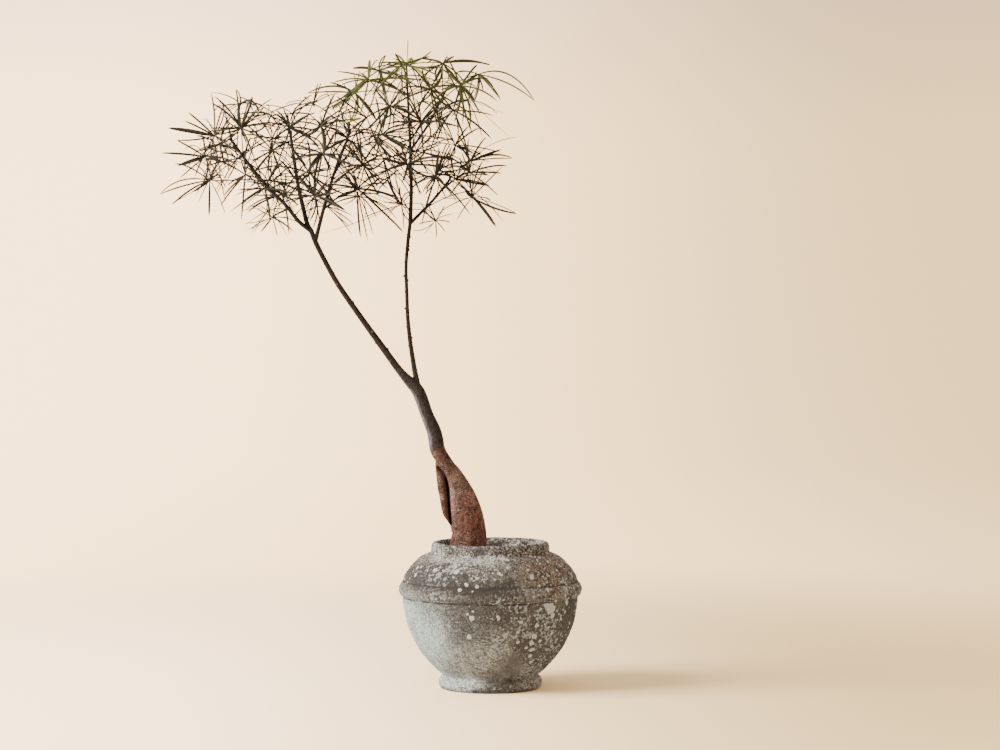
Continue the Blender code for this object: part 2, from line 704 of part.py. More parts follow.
def blade(name, line, normal):
    """A narrow pointed blade with a keel: three corners a ring, widest past its root."""
    bm = bmesh.new()
    widths = np.interp(np.linspace(0, 1, len(line)), *zip(*LEAFLET_WIDTHS))
    rings = []
    for i, point in enumerate(line[:-1]):
        along = unit(line[i + 1] - line[max(i - 1, 0)])
        side = unit(np.cross(along, normal))
        keel = np.cross(along, side)
        half = side * widths[i] * LEAFLET_WIDTH / 2
        deep = keel * LEAFLET_THICKNESS * (0.7 + 0.3 * widths[i])
        corners = (point - half + 0.35 * deep, point + half + 0.35 * deep, point - 0.65 * deep)
        rings.append([bm.verts.new(corner) for corner in corners])
    end = bm.verts.new(line[-1])
    for low, high in zip(rings, rings[1:]):
        for k in range(3):
            n = (k + 1) % 3
            bm.faces.new((low[k], low[n], high[n], high[k]))
    for k in range(3):
        bm.faces.new((rings[-1][k], rings[-1][(k + 1) % 3], end))
    bm.faces.new(rings[0][::-1])
    return mesh_from(bm, name)


def make_stem(name, leaves, material):
    rows = stretch(stem_rows(STEMS[name]), STUB + GAP, math.inf)
    stem = place(name, tube(name, rows, STEM_SIDES), material)
    grown = stubs_on(name)
    for (foot, bend, hub), axis, leaflets, young in leaves:
        bm = bmesh.new()
        bmesh.ops.create_uvsphere(bm, u_segments=4, v_segments=2, radius=HUB_RADIUS)
        bmesh.ops.translate(bm, verts=bm.verts, vec=hub)
        grown.append(mesh_from(bm, "hub"))
        if not young:
            line = arc(foot, bend, hub, STALK_STEPS)
            stalk = np.column_stack((line, np.full(len(line), STALK_RADIUS)))
            grown.append(tube("stalk", stalk, 3))
        for guide, steps in leaflets:
            line = arc(*guide, steps)
            line[0] += unit(line[1] - line[0]) * LEAFLET_ROOT * HUB_RADIUS
            grown.append(blade("leaflet", line, axis))
    boolean(stem, grown, "UNION", "MANIFOLD")
    shade_round(stem, 40)


def main():
    clear_scene()
    stone = finish_material("weathered_stone", (0.42, 0.40, 0.37), 0.92)
    earth = finish_material("soil", (0.075, 0.055, 0.040), 0.97)
    bark = finish_material("bark", (0.23, 0.11, 0.07), 0.75)
    foliage = finish_material("foliage", (0.055, 0.055, 0.032), 0.55)
    make_pot(stone)
    make_soil(earth)
    make_trunk(bark)
    for name, leaves in plan_foliage().items():
        make_stem(name, leaves, foliage)


main()
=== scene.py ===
# %% [markdown]
# # A potted brachychiton
#
# A young bottle tree leans out of a round stone pot: a fat red-brown caudex, a thin bare trunk that forks
# into two boughs, and six leafy stems with starry leaves of narrow leaflets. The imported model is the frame:
# each rough solid in it is replaced here by a finer piece of the same form, at the same place.
# The solids come first because every later size is read from them, so the looks can't drift from the model.

# %% The frame
import math
import random

import bmesh
import bpy
import numpy as np
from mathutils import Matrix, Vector


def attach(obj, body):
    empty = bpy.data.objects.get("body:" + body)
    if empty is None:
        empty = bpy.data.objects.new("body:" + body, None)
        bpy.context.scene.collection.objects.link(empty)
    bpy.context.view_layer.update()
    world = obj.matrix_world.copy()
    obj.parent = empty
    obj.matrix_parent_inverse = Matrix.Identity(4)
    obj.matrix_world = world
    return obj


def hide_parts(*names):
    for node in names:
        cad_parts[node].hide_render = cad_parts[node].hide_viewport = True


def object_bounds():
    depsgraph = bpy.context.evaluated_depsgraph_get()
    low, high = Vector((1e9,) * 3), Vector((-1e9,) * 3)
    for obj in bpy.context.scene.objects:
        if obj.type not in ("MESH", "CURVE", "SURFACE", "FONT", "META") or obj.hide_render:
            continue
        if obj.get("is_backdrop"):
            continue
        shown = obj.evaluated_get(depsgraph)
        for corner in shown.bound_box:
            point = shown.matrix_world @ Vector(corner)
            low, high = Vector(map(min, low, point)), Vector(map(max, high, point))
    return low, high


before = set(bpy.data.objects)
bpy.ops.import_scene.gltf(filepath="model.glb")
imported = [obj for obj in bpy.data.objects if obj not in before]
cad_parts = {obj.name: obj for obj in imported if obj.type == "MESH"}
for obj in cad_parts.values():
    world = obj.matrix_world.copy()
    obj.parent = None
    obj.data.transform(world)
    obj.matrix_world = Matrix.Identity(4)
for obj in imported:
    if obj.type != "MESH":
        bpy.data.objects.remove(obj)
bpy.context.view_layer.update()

print("solids:", sorted(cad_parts))

# %% [markdown]
# ## Camera
#
# The plant is looked at from a little below its crown, from 4.45 m away, through a long lens. A long lens
# keeps the pot's rim and foot nearly flat, which a short one near the plant would bend into deep ovals.

# %% Camera
EYE = (0.0159, -4.45, 0.6140)
LENS = 97.09
PITCH = 88.74

lens = bpy.data.cameras.new("camera")
lens.lens = LENS
lens.sensor_width = 36.0
lens.clip_end = 60.0
camera = bpy.data.objects.new("camera", lens)
camera.location = EYE
camera.rotation_euler = (math.radians(PITCH), 0.0, 0.0)
bpy.context.scene.collection.objects.link(camera)
bpy.context.scene.camera = camera
print("camera looks down by", round(90 - PITCH, 2), "degrees")

# %% [markdown]
# ## Helpers for nodes
#
# Materials and Geometry Nodes are both trees of nodes. These few helpers add a node, set or link its
# inputs and give its output back, so each tree below reads from its first step to its last. A socket knows
# the tree that it belongs to, so a node that takes one is added to that tree without naming it.


# %% Helpers for nodes
SOCKET = bpy.types.NodeSocket


def fill(made, values):
    """Sets a node's inputs by name or number: a socket is linked, anything else is set."""
    for key, value in values.items():
        socket = made.inputs[key.replace("_", " ") if isinstance(key, str) else key]
        if isinstance(value, SOCKET):
            made.id_data.links.new(value, socket)
        else:
            socket.default_value = (*value, 1.0) if socket.type == "RGBA" else value
    return made


def add(tree, kind, values=None, **settings):
    """Adds a node and fills its inputs."""
    made = tree.nodes.new(kind)
    for key, value in settings.items():
        setattr(made, key, value)
    return fill(made, values or {})


def owner(values):
    """The tree of the first socket among some values."""
    return next(value.id_data for value in values if isinstance(value, SOCKET))


def step(kind, **values):
    """Adds a Geometry Node and gives its first output. Inputs begin with a capital, settings don't."""
    inputs = {key: value for key, value in values.items() if key[0].isupper()}
    settings = {key: value for key, value in values.items() if key[0].islower()}
    return add(owner(inputs.values()), "GeometryNode" + kind, inputs, **settings).outputs[0]


def maths(operation, *values):
    """A sum on values, each a socket or a number."""
    return add(owner(values), "ShaderNodeMath", dict(enumerate(values)), operation=operation).outputs[0]


def times(first, second):
    return maths("MULTIPLY", first, second)


def plus(first, second):
    return maths("ADD", first, second)


def minus(first, second):
    return maths("SUBTRACT", first, second)


def vectors(operation, *values):
    """A sum on vectors."""
    made = add(owner(values), "ShaderNodeVectorMath", dict(enumerate(values)), operation=operation)
    return made.outputs["Value" if operation in ("LENGTH", "DISTANCE", "DOT_PRODUCT") else "Vector"]


def scaled(vector, factor):
    """A vector times a number."""
    values = {0: vector, "Scale": factor}
    return add(owner(values.values()), "ShaderNodeVectorMath", values, operation="SCALE").outputs["Vector"]


def faded(value, start, end, low=0.0, high=1.0):
    """A value that goes smoothly from low to high while the input goes from start to end."""
    values = {"Value": value, 1: start, 2: end, 3: low, 4: high}
    return add(value.id_data, "ShaderNodeMapRange", values, interpolation_type="SMOOTHSTEP").outputs[0]


def noise(vector, scale, detail=3.0, roughness=0.5, output="Fac"):
    """A noise over a place, as many lumps a metre as the scale says."""
    values = {"Vector": vector, "Scale": scale, "Detail": detail, "Roughness": roughness}
    return add(vector.id_data, "ShaderNodeTexNoise", values).outputs[output]


def axes(vector):
    """A vector's three parts."""
    return add(vector.id_data, "ShaderNodeSeparateXYZ", {0: vector}).outputs


def blended(factor, first, second, blend="MIX"):
    """A mix of two colours."""
    values = {0: factor, 6: first, 7: second}
    return add(factor.id_data, "ShaderNodeMix", values, data_type="RGBA", blend_type=blend).outputs[2]


def painted(ground, mask, strength, tone):
    """Lays a colour over a ground where the mask is."""
    return blended(times(mask, strength), ground, tone)


# %% Helper for node groups
FLOAT, INTEGER, VECTOR = "NodeSocketFloat", "NodeSocketInt", "NodeSocketVector"
GEOMETRY, MATERIAL, OBJECT = "NodeSocketGeometry", "NodeSocketMaterial", "NodeSocketObject"


def new_group(name, gives, **inputs):
    """A node group with one output, as (tree, its inputs, its outputs). An input is a number or a kind."""
    tree = bpy.data.node_groups.new(name, "GeometryNodeTree" if gives == "Geometry" else "ShaderNodeTree")
    for key, value in inputs.items():
        kind = value if isinstance(value, str) else INTEGER if isinstance(value, int) else FLOAT
        made = tree.interface.new_socket(key.replace("_", " "), in_out="INPUT", socket_type=kind)
        if kind != value:
            made.default_value = value
    socket = GEOMETRY if gives == "Geometry" else FLOAT
    tree.interface.new_socket(gives, in_out="OUTPUT", socket_type=socket)
    return tree, tree.nodes.new("NodeGroupInput").outputs, tree.nodes.new("NodeGroupOutput").inputs


def united(*geometries):
    """Joins geometries into one."""
    both = geometries[0].id_data.nodes.new("GeometryNodeJoinGeometry")
    for geometry in geometries:
        fill(both, {0: geometry})
    return both.outputs[0]


def chance(tree, seed, low=0.0, high=1.0):
    """A number drawn for each point."""
    return add(tree, "FunctionNodeRandomValue", {2: low, 3: high, "Seed": seed}).outputs[1]


def carried(tree, name, data_type="FLOAT"):
    """A value that the points carry."""
    return add(tree, "GeometryNodeInputNamedAttribute", {"Name": name}, data_type=data_type).outputs[0]


def here(tree, what="Position"):
    """Each point's own place, or its normal or index."""
    return tree.nodes.new("GeometryNodeInput" + what).outputs[0]


def finished(geometry, given, result):
    """Ends a tree: its faces smooth, its instances made real and its material set."""
    whole = step("RealizeInstances", Geometry=step("SetShadeSmooth", Geometry=geometry))
    dressed = step("SetMaterial", Geometry=whole, Material=given["Material"])
    dressed.id_data.links.new(dressed, result["Geometry"])


# %% [markdown]
# ## Shared effects
#
# Stone, bark and soil all carry small specks, and all have a fine grain that catches the light. Each
# effect is made once as a shader node group. A group gives only a mask or a height: the material decides
# which colour the mask brings in, so the same specks can be lichen on stone or pale flecks on bark.
# A zone is a patch with a ragged edge round a place, for a stain or a wash that lies at one spot.

# %% Specks, grain and zones
specks, given, result = new_group(
    "specks", "Mask", Place=VECTOR, Per_metre=300.0, Threshold=0.6, Edge=0.05, Patches_per_metre=20.0,
    Patchiness=0.1,
)
fine = noise(given["Place"], given["Per metre"], detail=4.0, roughness=0.6)
patches = noise(given["Place"], given["Patches per metre"], detail=2.0)
uneven = times(minus(patches, 0.5), given["Patchiness"])
level = plus(fine, times(uneven, 4.0))
top = plus(given["Threshold"], given["Edge"])
specks.links.new(faded(level, given["Threshold"], top), result["Mask"])

grain, given, result = new_group(
    "grain", "Height", Place=VECTOR, Coarse_per_metre=80.0, Fine_per_metre=500.0, Fine_share=0.4
)
coarse = noise(given["Place"], given["Coarse per metre"], detail=4.0)
fine = noise(given["Place"], given["Fine per metre"], detail=3.0)
height = plus(coarse, times(fine, given["Fine share"]))
grain.links.new(height, result["Height"])

zone, given, result = new_group(
    "zone", "Mask", Place=VECTOR, Centre=VECTOR, Reach=VECTOR, Softness=0.25, Raggedness=0.03
)
drift = vectors("SUBTRACT", noise(given["Place"], 60.0, 5.0, 0.7, output="Color"), (0.5, 0.5, 0.5))
moved = vectors("ADD", given["Place"], scaled(drift, given["Raggedness"]))
apart = vectors("DIVIDE", vectors("SUBTRACT", moved, given["Centre"]), given["Reach"])
inner = minus(1.0, given["Softness"])
outer = plus(1.0, given["Softness"])
zone.links.new(faded(vectors("LENGTH", apart), outer, inner), result["Mask"])
print("shared effects:", [group.name for group in (specks, grain, zone)])


# %% Helpers for materials
def new_material(name, roughness):
    """A material and the parts of it that every finish here uses."""
    made = bpy.data.materials.new(name)
    made.use_nodes = True
    tree = made.node_tree
    surface = fill(tree.nodes["Principled BSDF"], {"Roughness": roughness})
    place = tree.nodes.new("ShaderNodeTexCoord").outputs["Object"]
    return made, tree, surface, place


def effect(group, **values):
    """Puts a shared effect into a material and gives its one output."""
    made = owner(values.values()).nodes.new("ShaderNodeGroup")
    made.node_tree = group
    return fill(made, values).outputs[0]


def relief(surface, height, distance):
    """Turns a height into slopes that catch the light. The distance is its full depth in metres."""
    bump = add(surface.id_data, "ShaderNodeBump", {"Height": height, "Distance": distance})
    fill(surface, {"Normal": bump.outputs[0]})


def grained(surface, place, coarse, fine, fine_share, distance):
    """Gives a surface a relief of two grains. Coarse and fine are how many of them a metre holds."""
    values = {"Coarse_per_metre": coarse, "Fine_per_metre": fine, "Fine_share": fine_share}
    relief(surface, effect(grain, Place=place, **values), distance)


def specked(place, rate, threshold, edge, patches, patchiness):
    """A mask of specks. Rate and patches are how many of each a metre holds."""
    values = {"Per_metre": rate, "Threshold": threshold, "Edge": edge, "Patches_per_metre": patches}
    return effect(specks, Place=place, Patchiness=patchiness, **values)


def attribute(tree, name):
    """A value that the mesh carries."""
    return add(tree, "ShaderNodeAttribute", attribute_name=name).outputs["Fac"]


# %% [markdown]
# ## Stage and light
#
# The plant stands on a plain pale floor that curves up into a wall all round, as in a photographer's
# studio, so no horizon line cuts through it from any side. One large soft light stands at the left and
# throws a soft shadow to the right. The sky gives the rest, so the shaded side keeps its colour.
#
# The wall is to look far brighter than the plant. Lighting it so for real would wash the plant out, so the
# paper has two faces. What the eye sees is painted light: away from the pot the paper glows, brighter on the
# left and dimmer and cooler higher up. Near the pot it is lit for real but with colours above one, also
# brighter on the left, so it still darkens where the pot's shadow falls. What the plant's light bounces off
# is an ordinary pale paper.
# The floor lets a view from below through, so that the pot's underside can be looked at too.


# %% Studio floor
def turned(name, profile, sides):
    """A bowl from points (radius, height), the first at its centre. Its faces look up and inwards."""
    turns = np.linspace(0.0, math.tau, sides, endpoint=False)
    places = [(0.0, 0.0, profile[0][1])]
    places += [(r * math.cos(a), r * math.sin(a), z) for r, z in profile[1:] for a in turns]
    faces = [(0, 1 + i, 1 + (i + 1) % sides) for i in range(sides)]
    for ring in range(len(profile) - 2):
        start = 1 + ring * sides
        for i in range(sides):
            after = (i + 1) % sides
            faces.append((start + i, start + sides + i, start + sides + after, start + after))
    mesh = bpy.data.meshes.new(name)
    mesh.from_pydata(places, [], faces)
    mesh.shade_smooth()
    return mesh


FLOOR_RADIUS = 6.5
CURVE_RADIUS = 3.5
WALL_HEIGHT = 8.0
curve = [
    (FLOOR_RADIUS + CURVE_RADIUS * math.sin(a), CURVE_RADIUS * (1 - math.cos(a)))
    for a in np.linspace(0, math.pi / 2, 24)
]
studio_mesh = turned("studio", [(0.0, 0.0)] + curve + [(FLOOR_RADIUS + CURVE_RADIUS, WALL_HEIGHT)], 96)
print("studio floor faces up:", studio_mesh.polygons[0].normal.z > 0)

# %% Studio paper
# Painted light: colours of the glowing paper and of the lit floor near the pot, brighter on the left
GLOW_LEFT, GLOW_RIGHT = ((5.8, 3.75, 1.95), (2.15, 1.45, 0.66))
FLOOR_LEFT, FLOOR_RIGHT = ((2.1, 1.52, 1.0), (1.16, 0.84, 0.4))
PLAIN_PAPER = (0.8, 0.75, 0.67)
SHADOW_WITHIN, GLOW_BEYOND = 0.6, 2.5

paper, tree, surface, place = new_material("studio_paper", 0.9)
fill(surface, {"Base Color": PLAIN_PAPER, "Specular IOR Level": 0.1})
spot = axes(place)
# Painted light: the glow fades from left to right and dims and cools higher up, and the floor near the pot is
# painted brighter on the left
glow = blended(faded(spot["X"], -2.2, 2.2), GLOW_LEFT, GLOW_RIGHT)
glow = blended(faded(spot["Z"], 1.3, 2.6), glow, (0.7, 0.72, 0.9), blend="MULTIPLY")
floor = blended(faded(spot["X"], -0.7, 0.7), FLOOR_LEFT, FLOOR_RIGHT)
lit = add(tree, "ShaderNodeBsdfDiffuse", {"Color": floor}).outputs[0]
bright = add(tree, "ShaderNodeEmission", {"Color": glow}).outputs[0]
away = vectors("LENGTH", vectors("MULTIPLY", place, (1.0, 1.0, 0.0)))
far = faded(away, SHADOW_WITHIN, GLOW_BEYOND)
seen = add(tree, "ShaderNodeMixShader", {0: far, 1: lit, 2: bright}).outputs[0]
by_eye = tree.nodes.new("ShaderNodeLightPath").outputs["Is Camera Ray"]
front = add(tree, "ShaderNodeMixShader", {0: by_eye, 1: surface.outputs[0], 2: seen}).outputs[0]
behind = tree.nodes.new("ShaderNodeNewGeometry").outputs["Backfacing"]
through = tree.nodes.new("ShaderNodeBsdfTransparent").outputs[0]
whole = add(tree, "ShaderNodeMixShader", {0: behind, 1: front, 2: through}).outputs[0]
tree.links.new(whole, tree.nodes["Material Output"].inputs["Surface"])

studio = bpy.data.objects.new("studio", studio_mesh)
studio_mesh.materials.append(paper)
studio.location.z = -0.0004
bpy.context.scene.collection.objects.link(studio)
studio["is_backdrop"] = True
print("studio floor:", 2 * FLOOR_RADIUS, "m across")


# %% Lights
def soft_light(name, place, aim, size, power, tint):
    """A square lamp that shines towards a place."""
    lamp = bpy.data.lights.new(name, "AREA")
    lamp.size = size
    lamp.energy = power
    lamp.color = tint
    held = bpy.data.objects.new(name, lamp)
    held.location = place
    held.rotation_euler = (Vector(aim) - Vector(place)).to_track_quat("-Z", "Y").to_euler()
    bpy.context.scene.collection.objects.link(held)


AIM = (-0.1, 0.0, 0.3)
soft_light("key", (-3.1, -1.1, 1.95), AIM, 2.2, 345.0, (1.0, 0.995, 0.965))

sky = bpy.data.worlds.new("sky")
sky.use_nodes = True
fill(sky.node_tree.nodes["Background"], {"Color": (1.0, 0.93, 0.84), "Strength": 1.0})
bpy.context.scene.world = sky
print("lights:", [lamp.name for lamp in bpy.data.lights])

# %% [markdown]
# ## Running a Geometry Nodes tree
#
# What is repeated or follows a path is grown by Geometry Nodes. The tree is a recipe with named inputs, so
# a size can be changed in one place. Its result is turned into a plain mesh, because the object is handed
# on to programs that don't know the recipe.


# %% Helpers for meshes
def grown(name, mesh, tree, **values):
    """Runs a tree on a mesh and gives an object that holds only the finished mesh."""
    piece = bpy.data.objects.new(name, mesh)
    bpy.context.scene.collection.objects.link(piece)
    step = piece.modifiers.new(tree.name, "NODES")
    step.node_group = tree
    for socket in tree.interface.items_tree:
        key = socket.name.replace(" ", "_")
        if socket.in_out == "INPUT" and key in values:
            step[socket.identifier] = values[key]
    graph = bpy.context.evaluated_depsgraph_get()
    finished = bpy.data.meshes.new_from_object(piece.evaluated_get(graph))
    piece.modifiers.clear()
    piece.data = finished
    return piece


def measure(piece):
    """Prints a piece's triangles and size, and turns it the right way round if its faces point inwards."""
    bm = bmesh.new()
    bm.from_mesh(piece.data)
    volume = bm.calc_volume(signed=True)
    bm.free()
    if volume < 0:
        piece.data.flip_normals()
    corners = np.empty(3 * len(piece.data.vertices))
    piece.data.vertices.foreach_get("co", corners)
    corners = corners.reshape(-1, 3)
    triangles = sum(len(face.vertices) - 2 for face in piece.data.polygons)
    low, high = corners.min(0), corners.max(0)
    print(
        f"{piece.name}: {triangles} triangles, {np.round(1000 * (high - low), 1)} mm, "
        f"{volume * 1000000.0:.1f} cm3"
    )


def finish_piece(piece, slot, *nodes):
    """Measures a piece, fastens it to the root and hides the solids that it replaces. The slot is not used.
    """
    measure(piece)
    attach(piece, "root")
    if nodes:
        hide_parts(*nodes)


# %% [markdown]
# ## The stone pot
#
# The pot is turned from one piece of stone: a round foot, a deep belly, a raised band where it is widest,
# a sloping shoulder and a low collar round its mouth. A lathe shape is one outline swept round a circle.
# Geometry Nodes do the sweeping and then push the surface in and out by a noise, because the real one is
# worn and pitted all over, and a perfectly smooth turned shape would look like plastic.

# %% The pot's outline
POT_FOOT = [
    (0.0815, 0.0), (0.084, 0.003), (0.0852, 0.008), (0.0848, 0.014), (0.082, 0.018), (0.0775, 0.0218)
]
POT_BELLY = [
    (0.0775, 0.0218), (0.083, 0.026), (0.0895, 0.0313), (0.1083, 0.0512),
    (0.118, 0.0644), (0.1252, 0.0777), (0.1315, 0.091), (0.1367, 0.1042),
    (0.14, 0.1175), (0.1442, 0.144), (0.144, 0.151),
]
POT_BAND = [
    (0.144, 0.151), (0.1495, 0.156), (0.151, 0.162), (0.1505, 0.168), (0.147, 0.1735), (0.1432, 0.1775)
]
POT_SHOULDER = [
    (0.1432, 0.1775), (0.1423, 0.184), (0.134, 0.197), (0.1222, 0.2102), (0.1135, 0.2169), (0.101, 0.2222)
]
POT_COLLAR = [
    (0.0972, 0.224), (0.0972, 0.235), (0.0958, 0.239), (0.0915, 0.241), (0.0865, 0.2385), (0.083, 0.23)
]
POT_NECK = [(0.0830, 0.2300), (0.0830, 0.2120), (0.1040, 0.2000), (0.1220, 0.1820)]
HOLLOW_CENTRE, HOLLOW_RADIUS, HOLLOW_DEPTH, FLOOR_HEIGHT = 0.152, 0.127, 0.146, 0.022


def smooth_through(rows, steps):
    """Rows on a smooth curve through the given rows, with some steps between each two."""
    rows = np.array(rows)
    rows = np.vstack((2 * rows[0] - rows[1], rows, 2 * rows[-1] - rows[-2]))
    found = []
    for a, b, c, d in zip(rows, rows[1:], rows[2:], rows[3:]):
        for t in np.arange(steps) / steps:
            pull = (2 * a - 5 * b + 4 * c - d) * t**2 + (3 * b - 3 * c + d - a) * t**3
            found.append(b + 0.5 * ((c - a) * t + pull))
    return np.array(found + [rows[-2]])


def even(points, step, passes=2):
    """The same line with points at even steps, its corners rounded a little."""
    points = np.array(points, float)
    far = np.concatenate(([0.0], np.cumsum(np.linalg.norm(np.diff(points, axis=0), axis=1))))
    wanted = np.linspace(0, far[-1], max(2, round(far[-1] / step) + 1))
    line = np.column_stack([np.interp(wanted, far, column) for column in points.T])
    for _ in range(passes):
        line[1:-1] = (line[:-2] + 2 * line[1:-1] + line[2:]) / 4
    return line


outside = np.vstack(
    [smooth_through(rows, 6) for rows in (POT_FOOT, POT_BELLY, POT_BAND, POT_SHOULDER, POT_COLLAR)]
)
lowest = math.asin((HOLLOW_CENTRE - FLOOR_HEIGHT) / HOLLOW_DEPTH)
hollow = [
    (HOLLOW_RADIUS * math.cos(a), HOLLOW_CENTRE - HOLLOW_DEPTH * math.sin(a))
    for a in np.linspace(lowest, 0, 20)
]
hollow = hollow + POT_NECK[::-1]
FINE_STEP, HIDDEN_STEP = 0.0022, 0.006
outline = np.vstack((
    even([(0.0, 0.0), POT_FOOT[0]], 0.02, 0)[:-1],
    even(outside, FINE_STEP),
    even(hollow[::-1], HIDDEN_STEP, 1),
    even([hollow[0], (0.0, FLOOR_HEIGHT)], 0.02, 0)[1:],
))
print("pot outline:", len(outline), "points")

# %% The lathe
CORE = 0.1

lathe, given, result = new_group(
    "lathe", "Geometry", Outline=GEOMETRY, Sides=380, Relief=0.001, Lumps_per_metre=60.0,
    Pit_depth=0.0006, Relief_from=0.002, Material=MATERIAL,
)
circle = step("CurvePrimitiveCircle", Resolution=given["Sides"], Radius=CORE)
upright = step("SetCurveNormal", Curve=circle, mode="Z_UP")
line = step("MeshToCurve", Mesh=given["Outline"])
swept = step("CurveToMesh", Curve=upright, Profile_Curve=line)
closed = step("MergeByDistance", Geometry=swept, Distance=1e-05)
place = here(lathe)
lumps = minus(noise(place, given["Lumps per metre"], 5.0, 0.6), 0.5)
pitting = noise(place, times(given["Lumps per metre"], 5.0), 2.0)
pits = faded(pitting, 0.56, 0.68)
push = minus(times(lumps, given["Relief"]), times(pits, given["Pit depth"]))
height = axes(place)["Z"]
free = faded(height, given["Relief from"], plus(given["Relief from"], 0.005))
push = times(push, free)
offset = scaled(here(lathe, "Normal"), push)
pushed = step("SetPosition", Geometry=closed, Offset=offset)
finished(pushed, given, result)
print("lathe:", len(lathe.nodes), "nodes")

# %% Places seen from the front
def at_depth(x, y, z):
    """A place given as it looks from the eye, moved along the line of sight to its own depth."""
    share = (y - EYE[1]) / -EYE[1]
    return np.array((EYE[0] + (x - EYE[0]) * share, y, EYE[2] + (z - EYE[2]) * share))


def on_belly(x, z):
    """The place on the pot's front that is seen at x, z."""
    radii, heights = np.array(outside).T
    y = 0.0
    for _ in range(6):
        seen = at_depth(x, y, z)
        radius = np.interp(seen[2], heights, radii)
        y = -math.sqrt(max(radius**2 - seen[0] ** 2, 0.0))
    return at_depth(x, y, z)


# %% [markdown]
# ### Weathered stone
#
# The stone is a warm grey-brown. The left of its belly is a smooth cool grey, partly bleached stone and
# partly a painted highlight where the light falls, and its right side is dark, with a sharp upright edge
# where water runs down. The shoulder is covered with coarse black and white specks, and dark stains lie
# about the band, under the collar and on the foot. Each of these is a zone with its own colour, laid over a
# mottled ground one after another, as washes of paint are. Thin lines of painted shade run round the pot in
# the creases where the band meets the belly and the shoulder.
# All of it is built in the pot's own space, so nothing slides over the surface when the pot is turned.

# %% Washes on the stone
# Each is (x, z, reach across, reach up, softness, strength, colour), with x and z as seen from the front
WASHES = [
    (-0.0996, 0.1837, 0.062, 0.021, 0.35, 0.85, (0.050, 0.047, 0.045)),
    (-0.0360, 0.2100, 0.062, 0.0080, 0.40, 0.85, (0.410, 0.395, 0.355)),
    (-0.0080, 0.2240, 0.032, 0.0060, 0.35, 0.80, (0.075, 0.060, 0.050)),
    (-0.0850, 0.2320, 0.022, 0.010, 0.35, 0.60, (0.250, 0.250, 0.235)),
    (0.0951, 0.1987, 0.045, 0.024, 0.35, 0.75, (0.235, 0.162, 0.118)),
    (0.0819, 0.2268, 0.055, 0.012, 0.30, 0.60, (0.210, 0.180, 0.145)),
    (-0.0088, 0.1290, 0.066, 0.029, 0.45, 0.72, (0.080, 0.067, 0.056)),
    (-0.0353, 0.0920, 0.030, 0.038, 0.40, 0.60, (0.115, 0.103, 0.092)),
    (0.0640, 0.1230, 0.045, 0.018, 0.40, 0.60, (0.095, 0.077, 0.062)),
    (-0.0120, 0.0390, 0.064, 0.032, 0.45, 0.90, (0.340, 0.310, 0.260)),
    (0.1149, 0.0777, 0.080, 0.056, 0.10, 0.76, (0.096, 0.077, 0.062)),
    (-0.0600, 0.0080, 0.052, 0.014, 0.30, 0.85, (0.440, 0.465, 0.455)),
    (0.0736, 0.0080, 0.034, 0.012, 0.30, 0.70, (0.330, 0.275, 0.220)),
    (0.1080, 0.1570, 0.024, 0.009, 0.40, 0.60, (0.400, 0.315, 0.245)),
    (0.0740, 0.2060, 0.012, 0.010, 0.40, 0.60, (0.120, 0.072, 0.050)),
    (0.0900, 0.1800, 0.010, 0.014, 0.40, 0.50, (0.235, 0.150, 0.105)),
    (-0.0460, 0.2290, 0.034, 0.0085, 0.40, 0.55, (0.130, 0.120, 0.105)),
]
STAINS = [
    (-0.0270, 0.1580, 0.060, 0.009, 0.40, 0.82, (0.032, 0.025, 0.020)),
    (0.0060, 0.1690, 0.034, 0.015, 0.50, 0.75, (0.045, 0.037, 0.030)),
    (-0.1090, 0.1700, 0.030, 0.011, 0.50, 0.60, (0.045, 0.040, 0.037)),
    (-0.0055, 0.2243, 0.022, 0.008, 0.40, 0.75, (0.060, 0.049, 0.041)),
    (0.1020, 0.1610, 0.008, 0.010, 0.45, 0.65, (0.090, 0.050, 0.036)),
    (-0.0075, 0.1612, 0.036, 0.0024, 0.35, 0.85, (0.036, 0.028, 0.023)),
    (0.0300, 0.0400, 0.020, 0.014, 0.40, 0.60, (0.100, 0.080, 0.062)),
    (0.0110, 0.0230, 0.034, 0.008, 0.40, 0.60, (0.100, 0.085, 0.070)),
    (0.0390, 0.0340, 0.016, 0.016, 0.40, 0.55, (0.100, 0.080, 0.062)),
    (0.0192, 0.0097, 0.022, 0.008, 0.45, 0.70, (0.075, 0.062, 0.052)),
]
WASH_DEPTH = 0.2
# Heights of the creases under and over the band, and the colour of the painted shade laid in them
GROOVES, GROOVE_SHADE_COLOUR = (0.1510, 0.1772), (0.036, 0.029, 0.024)
# The left flank's pale cool grey is partly bleached stone and partly a painted highlight where the light
# falls
FLANK_CENTRE, FLANK_REACH, FLANK_BLEACH_AND_HIGHLIGHT = (-0.141, 0.0, 0.070), (0.088, 0.2, 0.088), (0.375, 0.435, 0.410)
NECK_CENTRE, NECK_REACH, NECK_COLOUR = (0.070, 0.048, 0.232), (0.036, 0.052, 0.014), (0.560, 0.545, 0.505)


def washed(place, ground, rows):
    """Lays washes over a colour. The softer a wash's edge is, the more ragged it is too."""
    for x, z, across, up, softness, strength, tone in rows:
        reach, ragged = (across, WASH_DEPTH, up), 0.01 + 0.08 * softness
        centre = tuple(on_belly(x, z))
        mask = effect(zone, Place=place, Centre=centre, Reach=reach, Softness=softness, Raggedness=ragged)
        ground = painted(ground, mask, strength, tone)
    return ground


